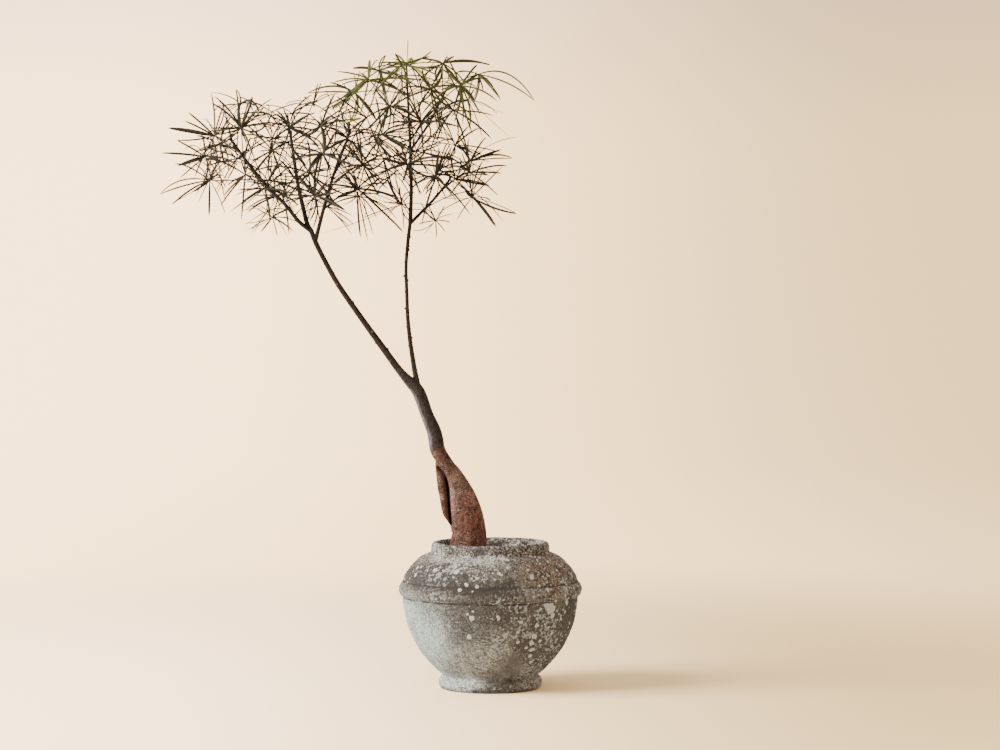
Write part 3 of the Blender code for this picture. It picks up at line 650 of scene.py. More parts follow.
# %% Stone material
stone, tree, surface, place = new_material("weathered_stone", 0.93)
spot = axes(place)
blotches = noise(place, 16.0, 5.0, 0.6)
dim = blended(faded(spot["X"], -0.06, 0.05), (0.105, 0.1, 0.09), (0.112, 0.092, 0.072))
bright = blended(faded(spot["X"], -0.06, 0.05), (0.165, 0.16, 0.145), (0.172, 0.146, 0.116))
ground = blended(faded(blotches, 0.38, 0.62), dim, bright)
shoulder = faded(spot["Z"], 0.148, 0.162)
ground = painted(ground, shoulder, 0.7, (0.2, 0.172, 0.143))
# Partly bleached stone, partly painted highlight: the left of the belly, lit from the left, is painted pale
# cool grey
flank = effect(zone, Place=place, Centre=FLANK_CENTRE, Reach=FLANK_REACH, Softness=0.3, Raggedness=0.045)
ground = painted(ground, flank, 0.92, FLANK_BLEACH_AND_HIGHLIGHT)
ground = washed(place, ground, WASHES)
neck = effect(zone, Place=place, Centre=NECK_CENTRE, Reach=NECK_REACH, Softness=0.4, Raggedness=0.01)
ground = painted(ground, neck, 0.8, NECK_COLOUR)

rugged = times(faded(flank, 0.0, 1.0, 1.0, 0.42), faded(shoulder, 0.0, 1.0, 0.6, 1.0))
mottle = faded(noise(place, 300.0, 5.0, 0.8), 0.3, 0.7, -0.62, 0.62)
runs = faded(noise(vectors("MULTIPLY", place, (1.0, 1.0, 0.16)), 95.0, 4.0, 0.6), 0.32, 0.68, 0.84, 1.14)
shade = maths("MULTIPLY_ADD", mottle, maths("MULTIPLY_ADD", rugged, 0.75, 0.2), 1.0)
shade = times(shade, runs)
grit = faded(noise(place, 430.0, 3.0, 0.65), 0.38, 0.62, -1.0, 1.0)
shade = times(shade, maths("MULTIPLY_ADD", grit, faded(spot["Z"], 0.196, 0.226, 0.47, 0.9), 0.95))
ground = scaled(ground, shade)

# Dark specks, tiny ones and pale ones, as (what specked() takes, strength, colour)
fewer = times(rugged, faded(spot["X"], -0.09, 0.0, 0.45, 0.85))
for kind, strength, tone in (
    ((165.0, 0.545, 0.04, 26.0, 0.12), times(rugged, 0.88), (0.045, 0.036, 0.03)),
    ((480.0, 0.56, 0.05, 40.0, 0.08), times(rugged, 0.8), (0.07, 0.058, 0.048)),
    ((200.0, 0.598, 0.03, 18.0, 0.14), fewer, (0.56, 0.55, 0.51)),
):
    ground = painted(ground, specked(place, *kind), strength, tone)
ground = washed(place, ground, STAINS)
# Painted shade: thin dark lines, broken by a noise, in the creases where the band meets the belly and the
# shoulder
broken = faded(noise(place, 70.0, 3.0, 0.6), 0.42, 0.56, 0.25, 0.85)
for height in GROOVES:
    apart = maths("ABSOLUTE", minus(spot["Z"], height))
    line = faded(apart, 0.0022, 0.0007)
    ground = painted(ground, line, broken, GROOVE_SHADE_COLOUR)
fill(surface, {"Base Color": ground})
grained(surface, place, 170.0, 800.0, 0.5, 0.0009)
fill(surface, {"Specular IOR Level": 0.2})
print("stone:", len(tree.nodes), "nodes")


# %% Turning the pot
def line_mesh(name, points):
    """A mesh of points joined one after another."""
    mesh = bpy.data.meshes.new(name)
    mesh.from_pydata([tuple(p) for p in points], [(i, i + 1) for i in range(len(points) - 1)], [])
    return mesh


def cut(piece, tools):
    """Cuts closed meshes out of a piece."""
    step = piece.modifiers.new("cut", "BOOLEAN")
    step.operation = "DIFFERENCE"
    step.solver = "EXACT"
    step.object = tools
    graph = bpy.context.evaluated_depsgraph_get()
    finished = bpy.data.meshes.new_from_object(piece.evaluated_get(graph))
    piece.modifiers.clear()
    piece.data = finished
    bpy.data.objects.remove(tools, do_unlink=True)


profile = line_mesh("pot_outline", [(r - CORE, -z, 0.0) for r, z in outline])
pot = grown(
    "stone_pot", profile, lathe, Sides=380, Relief=0.0016, Lumps_per_metre=60.0, Pit_depth=0.0007,
    Material=stone,
)

DRAIN_HOLES, DRAIN_RADIUS, DRAIN_CIRCLE = 3, 0.006, 0.045
bm = bmesh.new()
for i in range(DRAIN_HOLES):
    angle = math.tau * (i + 0.5) / DRAIN_HOLES
    made = bmesh.ops.create_cone(
        bm, cap_ends=True, segments=32, radius1=DRAIN_RADIUS, radius2=DRAIN_RADIUS, depth=3 * FLOOR_HEIGHT
    )
    spot = (DRAIN_CIRCLE * math.cos(angle), DRAIN_CIRCLE * math.sin(angle), FLOOR_HEIGHT / 2)
    bmesh.ops.translate(bm, verts=made["verts"], vec=spot)
drills = bpy.data.objects.new("drills", bpy.data.meshes.new("drills"))
bm.to_mesh(drills.data)
bm.free()
bpy.context.scene.collection.objects.link(drills)
drills.hide_render = True
cut(pot, drills)
finish_piece(pot, "pot_stone", "pot")

# %% [markdown]
# ### Lichen
#
# Old stone grows round crusts of lichen: pale rings a few millimetres to two centimetres wide, thicker at
# their edge, often with a dark middle. Paint alone would look flat in a low light, so each is a thin disc.
# Geometry Nodes scatter the discs, lay them on the stone point by point and lift their rims a little. The
# few large ones that are seen from the front are given.

# %% Lichen material
lichen, tree, surface, place = new_material("lichen", 0.95)
radial = attribute(tree, "radial")
kind = attribute(tree, "kind")
wavy = plus(radial, times(minus(noise(place, 420.0, 3.0), 0.5), 0.5))
heart = times(faded(wavy, 0.55, 0.3), faded(kind, 0.7, 0.85))
base = blended(noise(place, 500.0, 3.0), (0.36, 0.335, 0.29), (0.7, 0.665, 0.6))
base = painted(base, heart, 0.6, (0.22, 0.19, 0.155))
flecks = specked(place, 700.0, 0.56, 0.05, 60.0, 0.05)
base = painted(base, flecks, 0.7, (0.14, 0.115, 0.09))
fill(surface, {"Base Color": base})
grained(surface, place, 500.0, 1500.0, 0.5, 0.0006)

# %% Crusts on a surface
crusts, given, result = new_group(
    "crusts", "Geometry", Given=GEOMETRY, Stone=OBJECT, Per_square_metre=9000.0, Smallest=0.0009,
    Largest=0.003, Thickness=0.0006, Seed=3, Material=MATERIAL,
)
stone_shape = add(crusts, "GeometryNodeObjectInfo", {"Object": given["Stone"]}).outputs["Geometry"]
place = here(crusts)
normal = here(crusts, "Normal")


def nearest(value):
    """What a value is on the stone's surface at the place nearest to each point."""
    values = {"Mesh": stone_shape, 1: value, "Sample Position": place}
    return add(crusts, "GeometryNodeSampleNearestSurface", values, data_type="FLOAT_VECTOR").outputs[0]


spot = axes(place)
outward = vectors("DOT_PRODUCT", vectors("MULTIPLY", place, (1.0, 1.0, 0.0)), normal)
on_side = times(maths("GREATER_THAN", outward, 0.02), maths("GREATER_THAN", spot["Z"], 0.012))
thick = faded(noise(place, 24.0, 3.0), 0.42, 0.62, 0.15, 1.0)
favoured = maths(
    "MAXIMUM", faded(spot["X"], 0.03, 0.11, 0.04, 1.5), faded(spot["Z"], 0.16, 0.18, 0.0, 0.5)
)
chosen = times(times(on_side, thick), favoured)
density = times(chosen, given["Per square metre"])
strewn = step("DistributePointsOnFaces", Mesh=stone_shape, Density=density, Seed=given["Seed"])
size = chance(crusts, 11)
size = times(size, size)
size = add(crusts, "ShaderNodeMapRange", {0: size, 3: given["Smallest"], 4: given["Largest"]}).outputs[0]
sized = step("StoreNamedAttribute", Geometry=strewn, Name="size", Value=size)
by_hand = step("MeshToPoints", Mesh=given["Given"])
drawn = chance(crusts, 5)
kinds = step("StoreNamedAttribute", Geometry=united(sized, by_hand), Name="kind", Value=drawn)
turn = add(crusts, "FunctionNodeAlignRotationToVector", {"Vector": nearest(normal)}, axis="Z")
flat = {"Vertices": 22, "Side Segments": 5, "Radius Top": 0.0, "Radius Bottom": 1.0, "Depth": 0.0}
disc = add(crusts, "GeometryNodeMeshCone", flat, fill_type="NONE")
reach = vectors("LENGTH", place)
ringed = step("StoreNamedAttribute", Geometry=disc.outputs[0], Name="radial", Value=reach)
own_size = carried(crusts, "size")
laid = step("InstanceOnPoints", Points=kinds, Instance=ringed, Rotation=turn.outputs[0], Scale=own_size)
whole = step("RealizeInstances", Geometry=laid)
radial = carried(crusts, "radial")
drift = vectors("SUBTRACT", noise(place, 190.0, 2.0, output="Color"), (0.5, 0.5, 0.5))
drift = scaled(drift, times(times(radial, own_size), 2.2))
ragged = step("SetPosition", Geometry=whole, Offset=drift)
rim = times(faded(radial, 1.0, 0.8), faded(radial, 0.3, 0.8, 0.5, 1.0))
lift = minus(times(rim, given["Thickness"]), 0.00015)
raised = vectors("ADD", nearest(place), scaled(nearest(normal), lift))
settled = step("SetPosition", Geometry=ragged, Position=raised)
smooth = step("SetShadeSmooth", Geometry=settled)
dressed = step("SetMaterial", Geometry=smooth, Material=given["Material"])
crusts.links.new(dressed, result["Geometry"])
print("crusts:", len(crusts.nodes), "nodes")


# %% Laying the lichen
# Large crusts seen from the front, as (x, z, radius)
LARGE_CRUSTS = [
    (-0.0303, 0.1142, 0.005), (-0.029, 0.1252, 0.002), (-0.0385, 0.1205, 0.0022),
    (-0.0352, 0.0827, 0.0042), (-0.0897, 0.0868, 0.0034), (0.1, 0.1307, 0.0095), (0.0918, 0.134, 0.006),
    (0.1033, 0.1191, 0.005), (0.0143, 0.2285, 0.0068), (-0.0484, 0.2318, 0.0035),
    (-0.0913, 0.1937, 0.0042), (-0.1235, 0.1854, 0.0035), (-0.0567, 0.1904, 0.0042),
    (-0.0402, 0.1688, 0.0034), (-0.0501, 0.1606, 0.0036), (0.0687, 0.1821, 0.0048),
    (0.0769, 0.1026, 0.0045), (0.072, 0.0843, 0.0045), (0.0687, 0.0727, 0.0042), (0.067, 0.0611, 0.0038),
    (0.0654, 0.0512, 0.0035), (0.067, 0.0412, 0.0035), (0.1264, 0.1407, 0.0052), (0.1083, 0.1423, 0.0032),
    (0.0456, 0.091, 0.0028), (0.0456, 0.0744, 0.003), (0.1017, 0.0893, 0.0028), (0.1165, 0.1125, 0.003),
    (0.1231, 0.1241, 0.0028), (0.0126, 0.1142, 0.0035), (0.0588, 0.0644, 0.0026),
    (0.0274, 0.2102, 0.0035), (0.0819, 0.076, 0.0028), (0.0951, 0.1606, 0.0036),
]
spots = bpy.data.meshes.new("crust_places")
spots.from_pydata([tuple(on_belly(x, z)) for x, z, _ in LARGE_CRUSTS], [], [])
spots.attributes.new("size", "FLOAT", "POINT").data.foreach_set("value", [row[2] for row in LARGE_CRUSTS])
crust = grown("lichen", spots, crusts, Stone=pot, Seed=3, Material=lichen)
finish_piece(crust, "pot_stone")

# %% [markdown]
# ## Soil
#
# The pot is full to just under its mouth with a dark, crumbly mix of bark and grit. The same lathe turns
# its body, with a deeper noise on top, and a second tree strews the loose crumbs over it. The crumbs are
# twenty-sided lumps squashed at random, which is enough at their size and keeps thousands of them light.

# %% Soil materials
soil_mix, tree, surface, place = new_material("soil_mix", 0.97)
base = blended(noise(place, 260.0, 4.0, 0.7), (0.03, 0.02, 0.014), (0.125, 0.092, 0.066))
pale = specked(place, 420.0, 0.62, 0.04, 60.0, 0.05)
base = blended(pale, base, (0.3, 0.27, 0.22))
fill(surface, {"Base Color": base})
grained(surface, place, 250.0, 900.0, 0.6, 0.002)

crumb, tree, surface, place = new_material("soil_crumbs", 0.95)
tint = attribute(tree, "tint")
ramp = add(tree, "ShaderNodeValToRGB", {0: tint})
for position, tone in (
    (0.0, (0.022, 0.014, 0.010)),
    (0.45, (0.085, 0.052, 0.034)),
    (0.75, (0.16, 0.11, 0.075)),
    (0.93, (0.42, 0.39, 0.33)),
):
    ramp.color_ramp.elements.new(position).color = (*tone, 1.0)
ramp.color_ramp.elements.remove(ramp.color_ramp.elements[-1])
base = blended(noise(place, 700.0, 3.0), ramp.outputs[0], (0.05, 0.038, 0.028))
fill(surface, {"Base Color": base})
grained(surface, place, 700.0, 2000.0, 0.5, 0.0008)

# %% Soil body
GAP = 0.0003
SOIL_EDGE_HEIGHT = 0.2140
soil_side = [(r - GAP, z) for r, z in hollow if z < SOIL_EDGE_HEIGHT]
soil_side[0] = (soil_side[0][0] - GAP, FLOOR_HEIGHT + GAP)
soil_top = [(POT_NECK[0][0] - GAP, SOIL_EDGE_HEIGHT), (0.060, 0.2165), (0.030, 0.2180), (0.0, 0.2185)]
soil_outline = np.vstack(([(0.0, FLOOR_HEIGHT + GAP)], even(soil_side, 0.006, 0), even(soil_top, 0.0016)))
profile = line_mesh("soil_outline", [(r - CORE, -z, 0.0) for r, z in soil_outline])
soil = grown(
    "soil_mix", profile, lathe, Sides=150, Relief=0.006, Lumps_per_metre=110.0, Pit_depth=0.0015,
    Relief_from=0.2095, Material=soil_mix,
)
finish_piece(soil, "soil", "soil")

# %% Crumbs strewn on top
FOOT_X, FOOT_REACH = -0.0366, 0.0285

strewing, given, result = new_group(
    "strewing", "Geometry", Ground=GEOMETRY, Per_square_metre=95000.0, Smallest=0.0007, Largest=0.0024,
    Above=0.2095, Seed=8, Material=MATERIAL,
)
place = here(strewing)
normal = here(strewing, "Normal")
high = maths("GREATER_THAN", axes(place)["Z"], given["Above"])
level = vectors("MULTIPLY", place, (1.0, 1.0, 0.0))
clear = maths("GREATER_THAN", vectors("DISTANCE", level, (FOOT_X, 0.0, 0.0)), FOOT_REACH)
within = maths("LESS_THAN", vectors("LENGTH", level), 0.0805)
chosen = times(times(high, clear), within)
density = times(chosen, given["Per square metre"])
strewn = step("DistributePointsOnFaces", Mesh=given["Ground"], Density=density, Seed=given["Seed"])
drawn = chance(strewing, 2)
tinted = step("StoreNamedAttribute", Geometry=strewn, Name="tint", Value=drawn)
values = {0: (0.0, 0.0, 0.0), 1: (6.28, 6.28, 6.28), "Seed": 4}
turns = add(strewing, "FunctionNodeRandomValue", values, data_type="FLOAT_VECTOR").outputs[0]
values = {0: (0.6, 0.6, 0.35), 1: (1.5, 1.1, 0.8), "Seed": 6}
squash = add(strewing, "FunctionNodeRandomValue", values, data_type="FLOAT_VECTOR").outputs[0]
size = chance(strewing, 9)
values = {0: times(size, size), 3: given["Smallest"], 4: given["Largest"]}
size = add(strewing, "ShaderNodeMapRange", values).outputs[0]
lump = add(strewing, "GeometryNodeMeshIcoSphere", {"Radius": 1.0, "Subdivisions": 1})
turn = add(strewing, "FunctionNodeEulerToRotation", {0: turns})
laid = step(
    "InstanceOnPoints", Points=tinted, Instance=lump.outputs[0], Rotation=turn.outputs[0],
    Scale=scaled(squash, size),
)
whole = step("RealizeInstances", Geometry=laid)
dressed = step("SetMaterial", Geometry=whole, Material=given["Material"])
strewing.links.new(dressed, result["Geometry"])
crumbs = grown("soil_crumbs", soil.data, strewing, Material=crumb)
finish_piece(crumbs, "soil")

# %% [markdown]
# ## Caudex, trunk and boughs
#
# The caudex is the swollen stem that stores the plant's water. A second leg has grown together with it
# behind, and above them the trunk runs up thin and bare to its fork. Each limb is a tube along a few
# measured places. Joined tubes show a hard crease, so all of them are turned into one skin of even small
# faces, as if cast in one go, and smoothed. The knobs and wrinkles of the bark are then raised by a noise.

# %% Measured limbs
# Places are (x, y, z, radius), with x and z as they look from the eye
TRUNK = [
    (-0.0364, 0.0, 0.1539, 0.026), (-0.0364, 0.0, 0.1987, 0.029), (-0.0365, 0.0, 0.236, 0.0295),
    (-0.0359, 0.0, 0.2605, 0.0272), (-0.0412, 0.0, 0.2894, 0.026), (-0.0471, 0.0, 0.3173, 0.0212),
    (-0.0575, 0.0, 0.3452, 0.015), (-0.0702, 0.0, 0.3642, 0.0128), (-0.0808, 0.0, 0.3811, 0.0122),
    (-0.0877, 0.0, 0.3951, 0.0127), (-0.0924, 0.0, 0.421, 0.0122), (-0.1044, 0.0, 0.45, 0.0107),
    (-0.1185, 0.0, 0.4879, 0.0108), (-0.1333, -0.001, 0.5049, 0.0086), (-0.1509, -0.003, 0.5249, 0.0063),
    (-0.1793, -0.007, 0.5638, 0.0056), (-0.2097, -0.013, 0.6058, 0.0049), (-0.248, -0.02, 0.6608, 0.0045),
    (-0.2688, -0.024, 0.6968, 0.0042), (-0.2861, -0.028, 0.7308, 0.0043), (-0.295, -0.03, 0.7528, 0.0041),
]
LOBED_BELOW, LOBE_DEPTH, LOBE_TWIST = 0.373, 0.035, 30.0
SECOND_LEG = [
    (-0.0835, 0.003, 0.3811, 0.007), (-0.0836, 0.005, 0.3707, 0.0075), (-0.0822, 0.006, 0.3567, 0.008),
    (-0.079, 0.0055, 0.3426, 0.0098), (-0.0772, 0.007, 0.3294, 0.0102), (-0.0744, 0.009, 0.3161, 0.01),
    (-0.0728, 0.01, 0.3019, 0.0092), (-0.0705, 0.011, 0.288, 0.008), (-0.0668, 0.011, 0.2798, 0.0066),
    (-0.0622, 0.0095, 0.2698, 0.0048), (-0.0602, 0.008, 0.26, 0.0045), (-0.058, 0.007, 0.252, 0.0042),
]
RIGHT_BOUGH = [
    (-0.1164, 0.0, 0.4849, 0.005), (-0.1224, 0.003, 0.5109, 0.0048), (-0.1267, 0.006, 0.5339, 0.0043),
    (-0.1323, 0.013, 0.5718, 0.0038), (-0.1362, 0.019, 0.6098, 0.0034), (-0.138, 0.024, 0.6568, 0.0031),
    (-0.139, 0.028, 0.6948, 0.003), (-0.1362, 0.03, 0.7328, 0.0031), (-0.1322, 0.03, 0.7669, 0.0032),
]
KNOBS = [
    (-0.0744, -0.003, 0.3926, 0.0018), (-0.0636, 0.004, 0.2584, 0.002), (-0.295, -0.03, 0.7528, 0.0038),
    (-0.1322, 0.03, 0.7669, 0.0031), (-0.2694, -0.022, 0.7035, 0.0021), (-0.2702, -0.022, 0.6939, 0.0021),
    (-0.2521, -0.019, 0.6726, 0.0021), (-0.2535, -0.018, 0.6637, 0.0021),
    (-0.1998, -0.011, 0.597, 0.0021), (-0.1423, 0.029, 0.6794, 0.0021), (-0.1407, 0.026, 0.626, 0.0021),
    (-0.1351, 0.03, 0.7488, 0.0021), (-0.1394, 0.03, 0.7152, 0.0021), (-0.1407, 0.03, 0.7023, 0.0021),
    (-0.1361, 0.022, 0.594, 0.0021), (-0.1342, 0.016, 0.5646, 0.0021), (-0.1369, 0.028, 0.6703, 0.0021),
    (-0.1346, 0.03, 0.7227, 0.0021), (-0.1324, 0.03, 0.7443, 0.0021), (-0.1349, 0.025, 0.6143, 0.0021),
    (-0.1324, 0.022, 0.5923, 0.0021),
]


def eased(rows, steps):
    """Measured rows, set to their own depth and smoothed."""
    return smooth_through([(*at_depth(*row[:3]), *row[3:]) for row in rows], steps)


# %% Limbs as tubes
def limb(bm, rows, sides, lobe_depth=0.0):
    """Adds a closed tube to a mesh in the making: a ring square to the path at each row, and flat ends."""
    path = [Vector(row[:3]) for row in rows]
    across = Vector((1.0, 0.2, 0.1))
    rings = []
    for i, (point, row) in enumerate(zip(path, rows)):
        along = (path[min(i + 1, len(path) - 1)] - path[max(i - 1, 0)]).normalized()
        across = (across - along * across.dot(along)).normalized()
        square = along.cross(across)
        ring = []
        for k in range(sides):
            angle = math.tau * k / sides
            lobe = math.sin(2 * angle + 1.0) + math.sin(3 * angle + LOBE_TWIST * point.z)
            reach = row[3] * (1 + (lobe_depth if point.z < LOBED_BELOW else 0.0) * lobe)
            ring.append(bm.verts.new(point + (across * math.cos(angle) + square * math.sin(angle)) * reach))
        rings.append(ring)
    for low, high in zip(rings, rings[1:]):
        for k in range(sides):
            n = (k + 1) % sides
            bm.faces.new((low[k], low[n], high[n], high[k]))
    bm.faces.new(rings[0][::-1])
    bm.faces.new(rings[-1])


bm = bmesh.new()
limb(bm, eased(TRUNK, 6), 40, LOBE_DEPTH)
limb(bm, eased(SECOND_LEG, 6), 32)
limb(bm, eased(RIGHT_BOUGH, 6), 24)
for x, y, z, radius in KNOBS:
    made = bmesh.ops.create_icosphere(bm, subdivisions=3, radius=radius)
    bmesh.ops.translate(bm, verts=made["verts"], vec=at_depth(x, y, z))
bmesh.ops.recalc_face_normals(bm, faces=bm.faces)
limbs = bpy.data.meshes.new("limbs")
bm.to_mesh(limbs)
bm.free()
print("limbs:", len(limbs.polygons), "faces before they grow together")

# %% [markdown]
# ### Bark
#
# Below the fork of its two legs the caudex is red-brown, with pale pinkish flecks and dark pits. Higher up
# the bark turns grey-brown and smooth, and the boughs are nearly black. The colour is mixed by height with
# a ragged edge, because the real change follows the age of the wood and not a level line.

# %% Bark material
PINK_PATCH, PINK_REACH = (-0.0920, 0.0, 0.3860), (0.0032, 0.02, 0.0040)

bark, tree, surface, place = new_material("bark", 0.72)
spot = axes(place)
height = spot["Z"]
wander = times(minus(noise(place, 70.0, 4.0, 0.6), 0.5), 0.03)
level = plus(height, wander)
leaning = minus(level, times(spot["X"], 0.5))
old_tone = faded(noise(place, 130.0, 5.0, 0.7), 0.36, 0.64)
old = blended(old_tone, (0.046, 0.018, 0.011), (0.14, 0.064, 0.042))
rosy = faded(spot["X"], -0.056, -0.03)
old = blended(rosy, old, (1.85, 1.65, 1.7), blend="MULTIPLY")
streaks = noise(vectors("MULTIPLY", place, (1.0, 1.0, 0.3)), 420.0, 4.0, 0.7)
streaks = faded(streaks, 0.35, 0.65)
low_grey = blended(streaks, (0.013, 0.009, 0.007), (0.052, 0.036, 0.029))
high_dark = blended(streaks, (0.01, 0.007, 0.005), (0.034, 0.022, 0.016))
young = blended(faded(level, 0.47, 0.6), low_grey, high_dark)
# Partly painted highlight, partly real pale bark: the upper trunk's faces that look towards the light at the
# left are painted pale grey, in streaks
sheen_and_film = times(attribute(tree, "weather"), faded(level, 0.565, 0.48))
sheen_and_film = times(sheen_and_film, maths("MULTIPLY_ADD", streaks, 0.6, 0.4))
young = blended(sheen_and_film, young, (0.2, 0.182, 0.178))
base = blended(faded(leaning, 0.43, 0.449), old, young)
tan = effect(
    zone, Place=place, Centre=(-0.043, 0.0, 0.345), Reach=(0.02, 0.1, 0.028), Softness=0.5,
    Raggedness=0.01,
)
base = painted(base, tan, 0.5, (0.15, 0.098, 0.07))
pink = effect(zone, Place=place, Centre=PINK_PATCH, Reach=PINK_REACH, Softness=0.4, Raggedness=0.004)
base = painted(base, pink, 0.8, (0.24, 0.135, 0.11))
# Partly pale pinkish flecked bark, partly painted highlight on the main leg's lit flank just right of the
# fold
base = painted(base, attribute(tree, "strip"), 0.65, (0.15, 0.083, 0.063))
flecks = specked(place, 520.0, 0.585, 0.03, 55.0, 0.1)
old_only = faded(leaning, 0.44, 0.4, 0.06, 0.6)
more = maths("MULTIPLY_ADD", attribute(tree, "strip"), 0.45, old_only)
base = painted(base, flecks, more, (0.44, 0.29, 0.23))
pits = specked(place, 560.0, 0.555, 0.04, 45.0, 0.1)
base = painted(base, pits, 0.8, (0.022, 0.009, 0.006))
# Painted shade in and beside the fold between the two legs
base = painted(base, attribute(tree, "shade"), 0.8, (0.052, 0.016, 0.01))
base = painted(base, attribute(tree, "crease"), 0.95, (0.008, 0.003, 0.002))
fill(surface, {"Base Color": base})
grained(surface, place, 420.0, 1200.0, 0.6, 0.0011)
fill(surface, {"Specular IOR Level": 0.15})
print("bark:", len(tree.nodes), "nodes")

# %% Bark relief
barking, given, result = new_group(
    "barking", "Geometry", Wood=GEOMETRY, Crease_line=OBJECT, Eye=VECTOR, Crease_depth=0.0036,
    Crease_width=0.0022, Lump_height=0.001, Wrinkle_height=0.0008, Pit_depth=0.0004, Old_below=0.389,
    Material=MATERIAL,
)
place = here(barking)
normal = here(barking, "Normal")
crease_line = add(barking, "GeometryNodeObjectInfo", {"Object": given["Crease line"]}).outputs["Geometry"]


def from_crease(aside):
    """How far off the crease line, moved aside, a place looks to be from the eye."""
    moved = vectors("SUBTRACT", flat, (aside, 0.0, 0.0))
    values = {"Geometry": crease_line, "Source Position": moved}
    return add(barking, "GeometryNodeProximity", values, target_element="EDGES").outputs["Distance"]


sight = vectors("SUBTRACT", place, given["Eye"])
depth = maths("DIVIDE", axes(sight)["Y"], times(axes(given["Eye"])["Y"], -1.0))
flat = vectors("ADD", given["Eye"], scaled(sight, maths("DIVIDE", 1.0, depth)))
flat = vectors("MULTIPLY", flat, (1.0, 0.0, 1.0))
in_front = faded(axes(normal)["Y"], 0.4, 0.1)
# Painted shade in the fold between the two legs: a nearly black core along it, and a dark red-brown gradient
# on the second leg's side
crease = times(faded(from_crease(-0.0007), 0.003, 0.0008), in_front)
shade = times(faded(from_crease(-0.0042), 0.0066, 0.0015), in_front)
# Partly pale bark, partly painted highlight: the main leg's flank just right of the fold, which catches the
# light from the left
strip = faded(from_crease(0.005), 0.0055, 0.0015)
strip = times(strip, faded(axes(place)["Z"], 0.358, 0.345))
# Painted highlight: how squarely each face looks towards the light at the left, for the pale grey on the
# upper trunk
weather = faded(vectors("DOT_PRODUCT", normal, (-0.96, -0.28, 0.0)), 0.6, 0.95)
marked = given["Wood"]
for title, value in (("crease", crease), ("shade", shade), ("strip", strip), ("weather", weather)):
    marked = step("StoreNamedAttribute", Geometry=marked, Name=title, Value=value)
lumps = minus(noise(place, 70.0, 3.0), 0.5)
squeezed = vectors("MULTIPLY", place, (1.0, 1.0, 2.5))
wrinkles = minus(noise(squeezed, 150.0, 3.0), 0.5)
pits = faded(noise(place, 420.0, 1.0), 0.6, 0.72)
push = plus(times(lumps, given["Lump height"]), times(wrinkles, given["Wrinkle height"]))
push = minus(push, times(pits, given["Pit depth"]))
height = axes(place)["Z"]
age = faded(height, plus(given["Old below"], 0.09), given["Old below"], 0.12, 1.0)
groove = times(faded(from_crease(0.0), given["Crease width"], 0.0), in_front)
push = minus(times(push, age), times(groove, given["Crease depth"]))
pushed = step("SetPosition", Geometry=marked, Offset=scaled(normal, push))
finished(pushed, given, result)

# %% Growing the limbs together
SKIN_STEP = 0.00105
skin = bpy.data.objects.new("skin", limbs)
bpy.context.scene.collection.objects.link(skin)
cast = skin.modifiers.new("cast", "REMESH")
cast.mode = "VOXEL"
cast.voxel_size = SKIN_STEP
soften = skin.modifiers.new("soften", "SMOOTH")
soften.factor = 0.5
soften.iterations = 2
graph = bpy.context.evaluated_depsgraph_get()
wood = bpy.data.meshes.new_from_object(skin.evaluated_get(graph))
bpy.data.objects.remove(skin, do_unlink=True)

# The fold between the two legs, as (x, z) seen from the front
CREASE = [
    (-0.0867, 0.3636), (-0.0803, 0.3567), (-0.075, 0.3486), (-0.0717, 0.3375),
    (-0.0696, 0.3266), (-0.0689, 0.3157), (-0.0679, 0.3019), (-0.0668, 0.2882),
    (-0.0661, 0.2758), (-0.065, 0.269),
]
fold = line_mesh("fold", even(smooth_through([(x, 0.0, z) for x, z in CREASE], 4), 0.002))
fold = bpy.data.objects.new("fold", fold)
bpy.context.scene.collection.objects.link(fold)
trunk = grown("caudex_and_boughs", wood, barking, Crease_line=fold, Eye=EYE, Material=bark)
bpy.data.objects.remove(fold, do_unlink=True)
finish_piece(trunk, "bark", "trunk")

# %% [markdown]
# ### Leaf scars
#
# A leaf that falls leaves a small raised scar on the bough, so knobs sit on alternate sides all the way up.
# They follow a path, so a tree sets points along it at even steps and turns each one on by the golden
# angle, which is close to how leaves really follow each other round a stem.

# %% Scar material
scar, tree, surface, place = new_material("leaf_scar", 0.8)
radial = attribute(tree, "radial")
base = blended(faded(radial, 0.35, 0.75), (0.16, 0.125, 0.1), (0.04, 0.027, 0.021))
base = painted(base, noise(place, 800.0, 3.0), 0.6, (0.02, 0.013, 0.01))
fill(surface, {"Base Color": base})
grained(surface, place, 900.0, 2500.0, 0.5, 0.0004)

# %% Scars along a path
scarring, given, result = new_group(
    "scarring", "Geometry", Path=GEOMETRY, Spacing=0.011, Knob_size=0.0022, Turn=2.4, Material=MATERIAL
)
path = step("MeshToCurve", Mesh=given["Path"])
values = {"Curve": path, "Length": given["Spacing"]}
beads = add(scarring, "GeometryNodeCurveToPoints", values, mode="LENGTH")
number = here(scarring, "Index")
values = {"Axis": beads.outputs["Tangent"], "Angle": times(number, given["Turn"])}
turn = add(scarring, "FunctionNodeAxisAngleToRotation", values).outputs[0]
values = {"Vector": beads.outputs["Normal"], "Rotation": turn}
aside = add(scarring, "FunctionNodeRotateVector", values).outputs[0]
girth = carried(scarring, "girth")
moved = step("SetPosition", Geometry=beads.outputs["Points"], Offset=scaled(aside, times(girth, 0.94)))
knob = add(scarring, "GeometryNodeMeshUVSphere", {"Segments": 12, "Rings": 8, "Radius": 1.0})
place = here(scarring)
flat = vectors("MULTIPLY", place, (1.0, 1.0, 0.0))
reach = vectors("LENGTH", flat)
ringed = step("StoreNamedAttribute", Geometry=knob.outputs[0], Name="radial", Value=reach)
facing = add(scarring, "FunctionNodeAlignRotationToVector", {"Vector": aside}, axis="Z")
share = chance(scarring, 3, 0.55, 1.15)
size = times(plus(times(girth, 0.22), times(given["Knob size"], 0.5)), share)
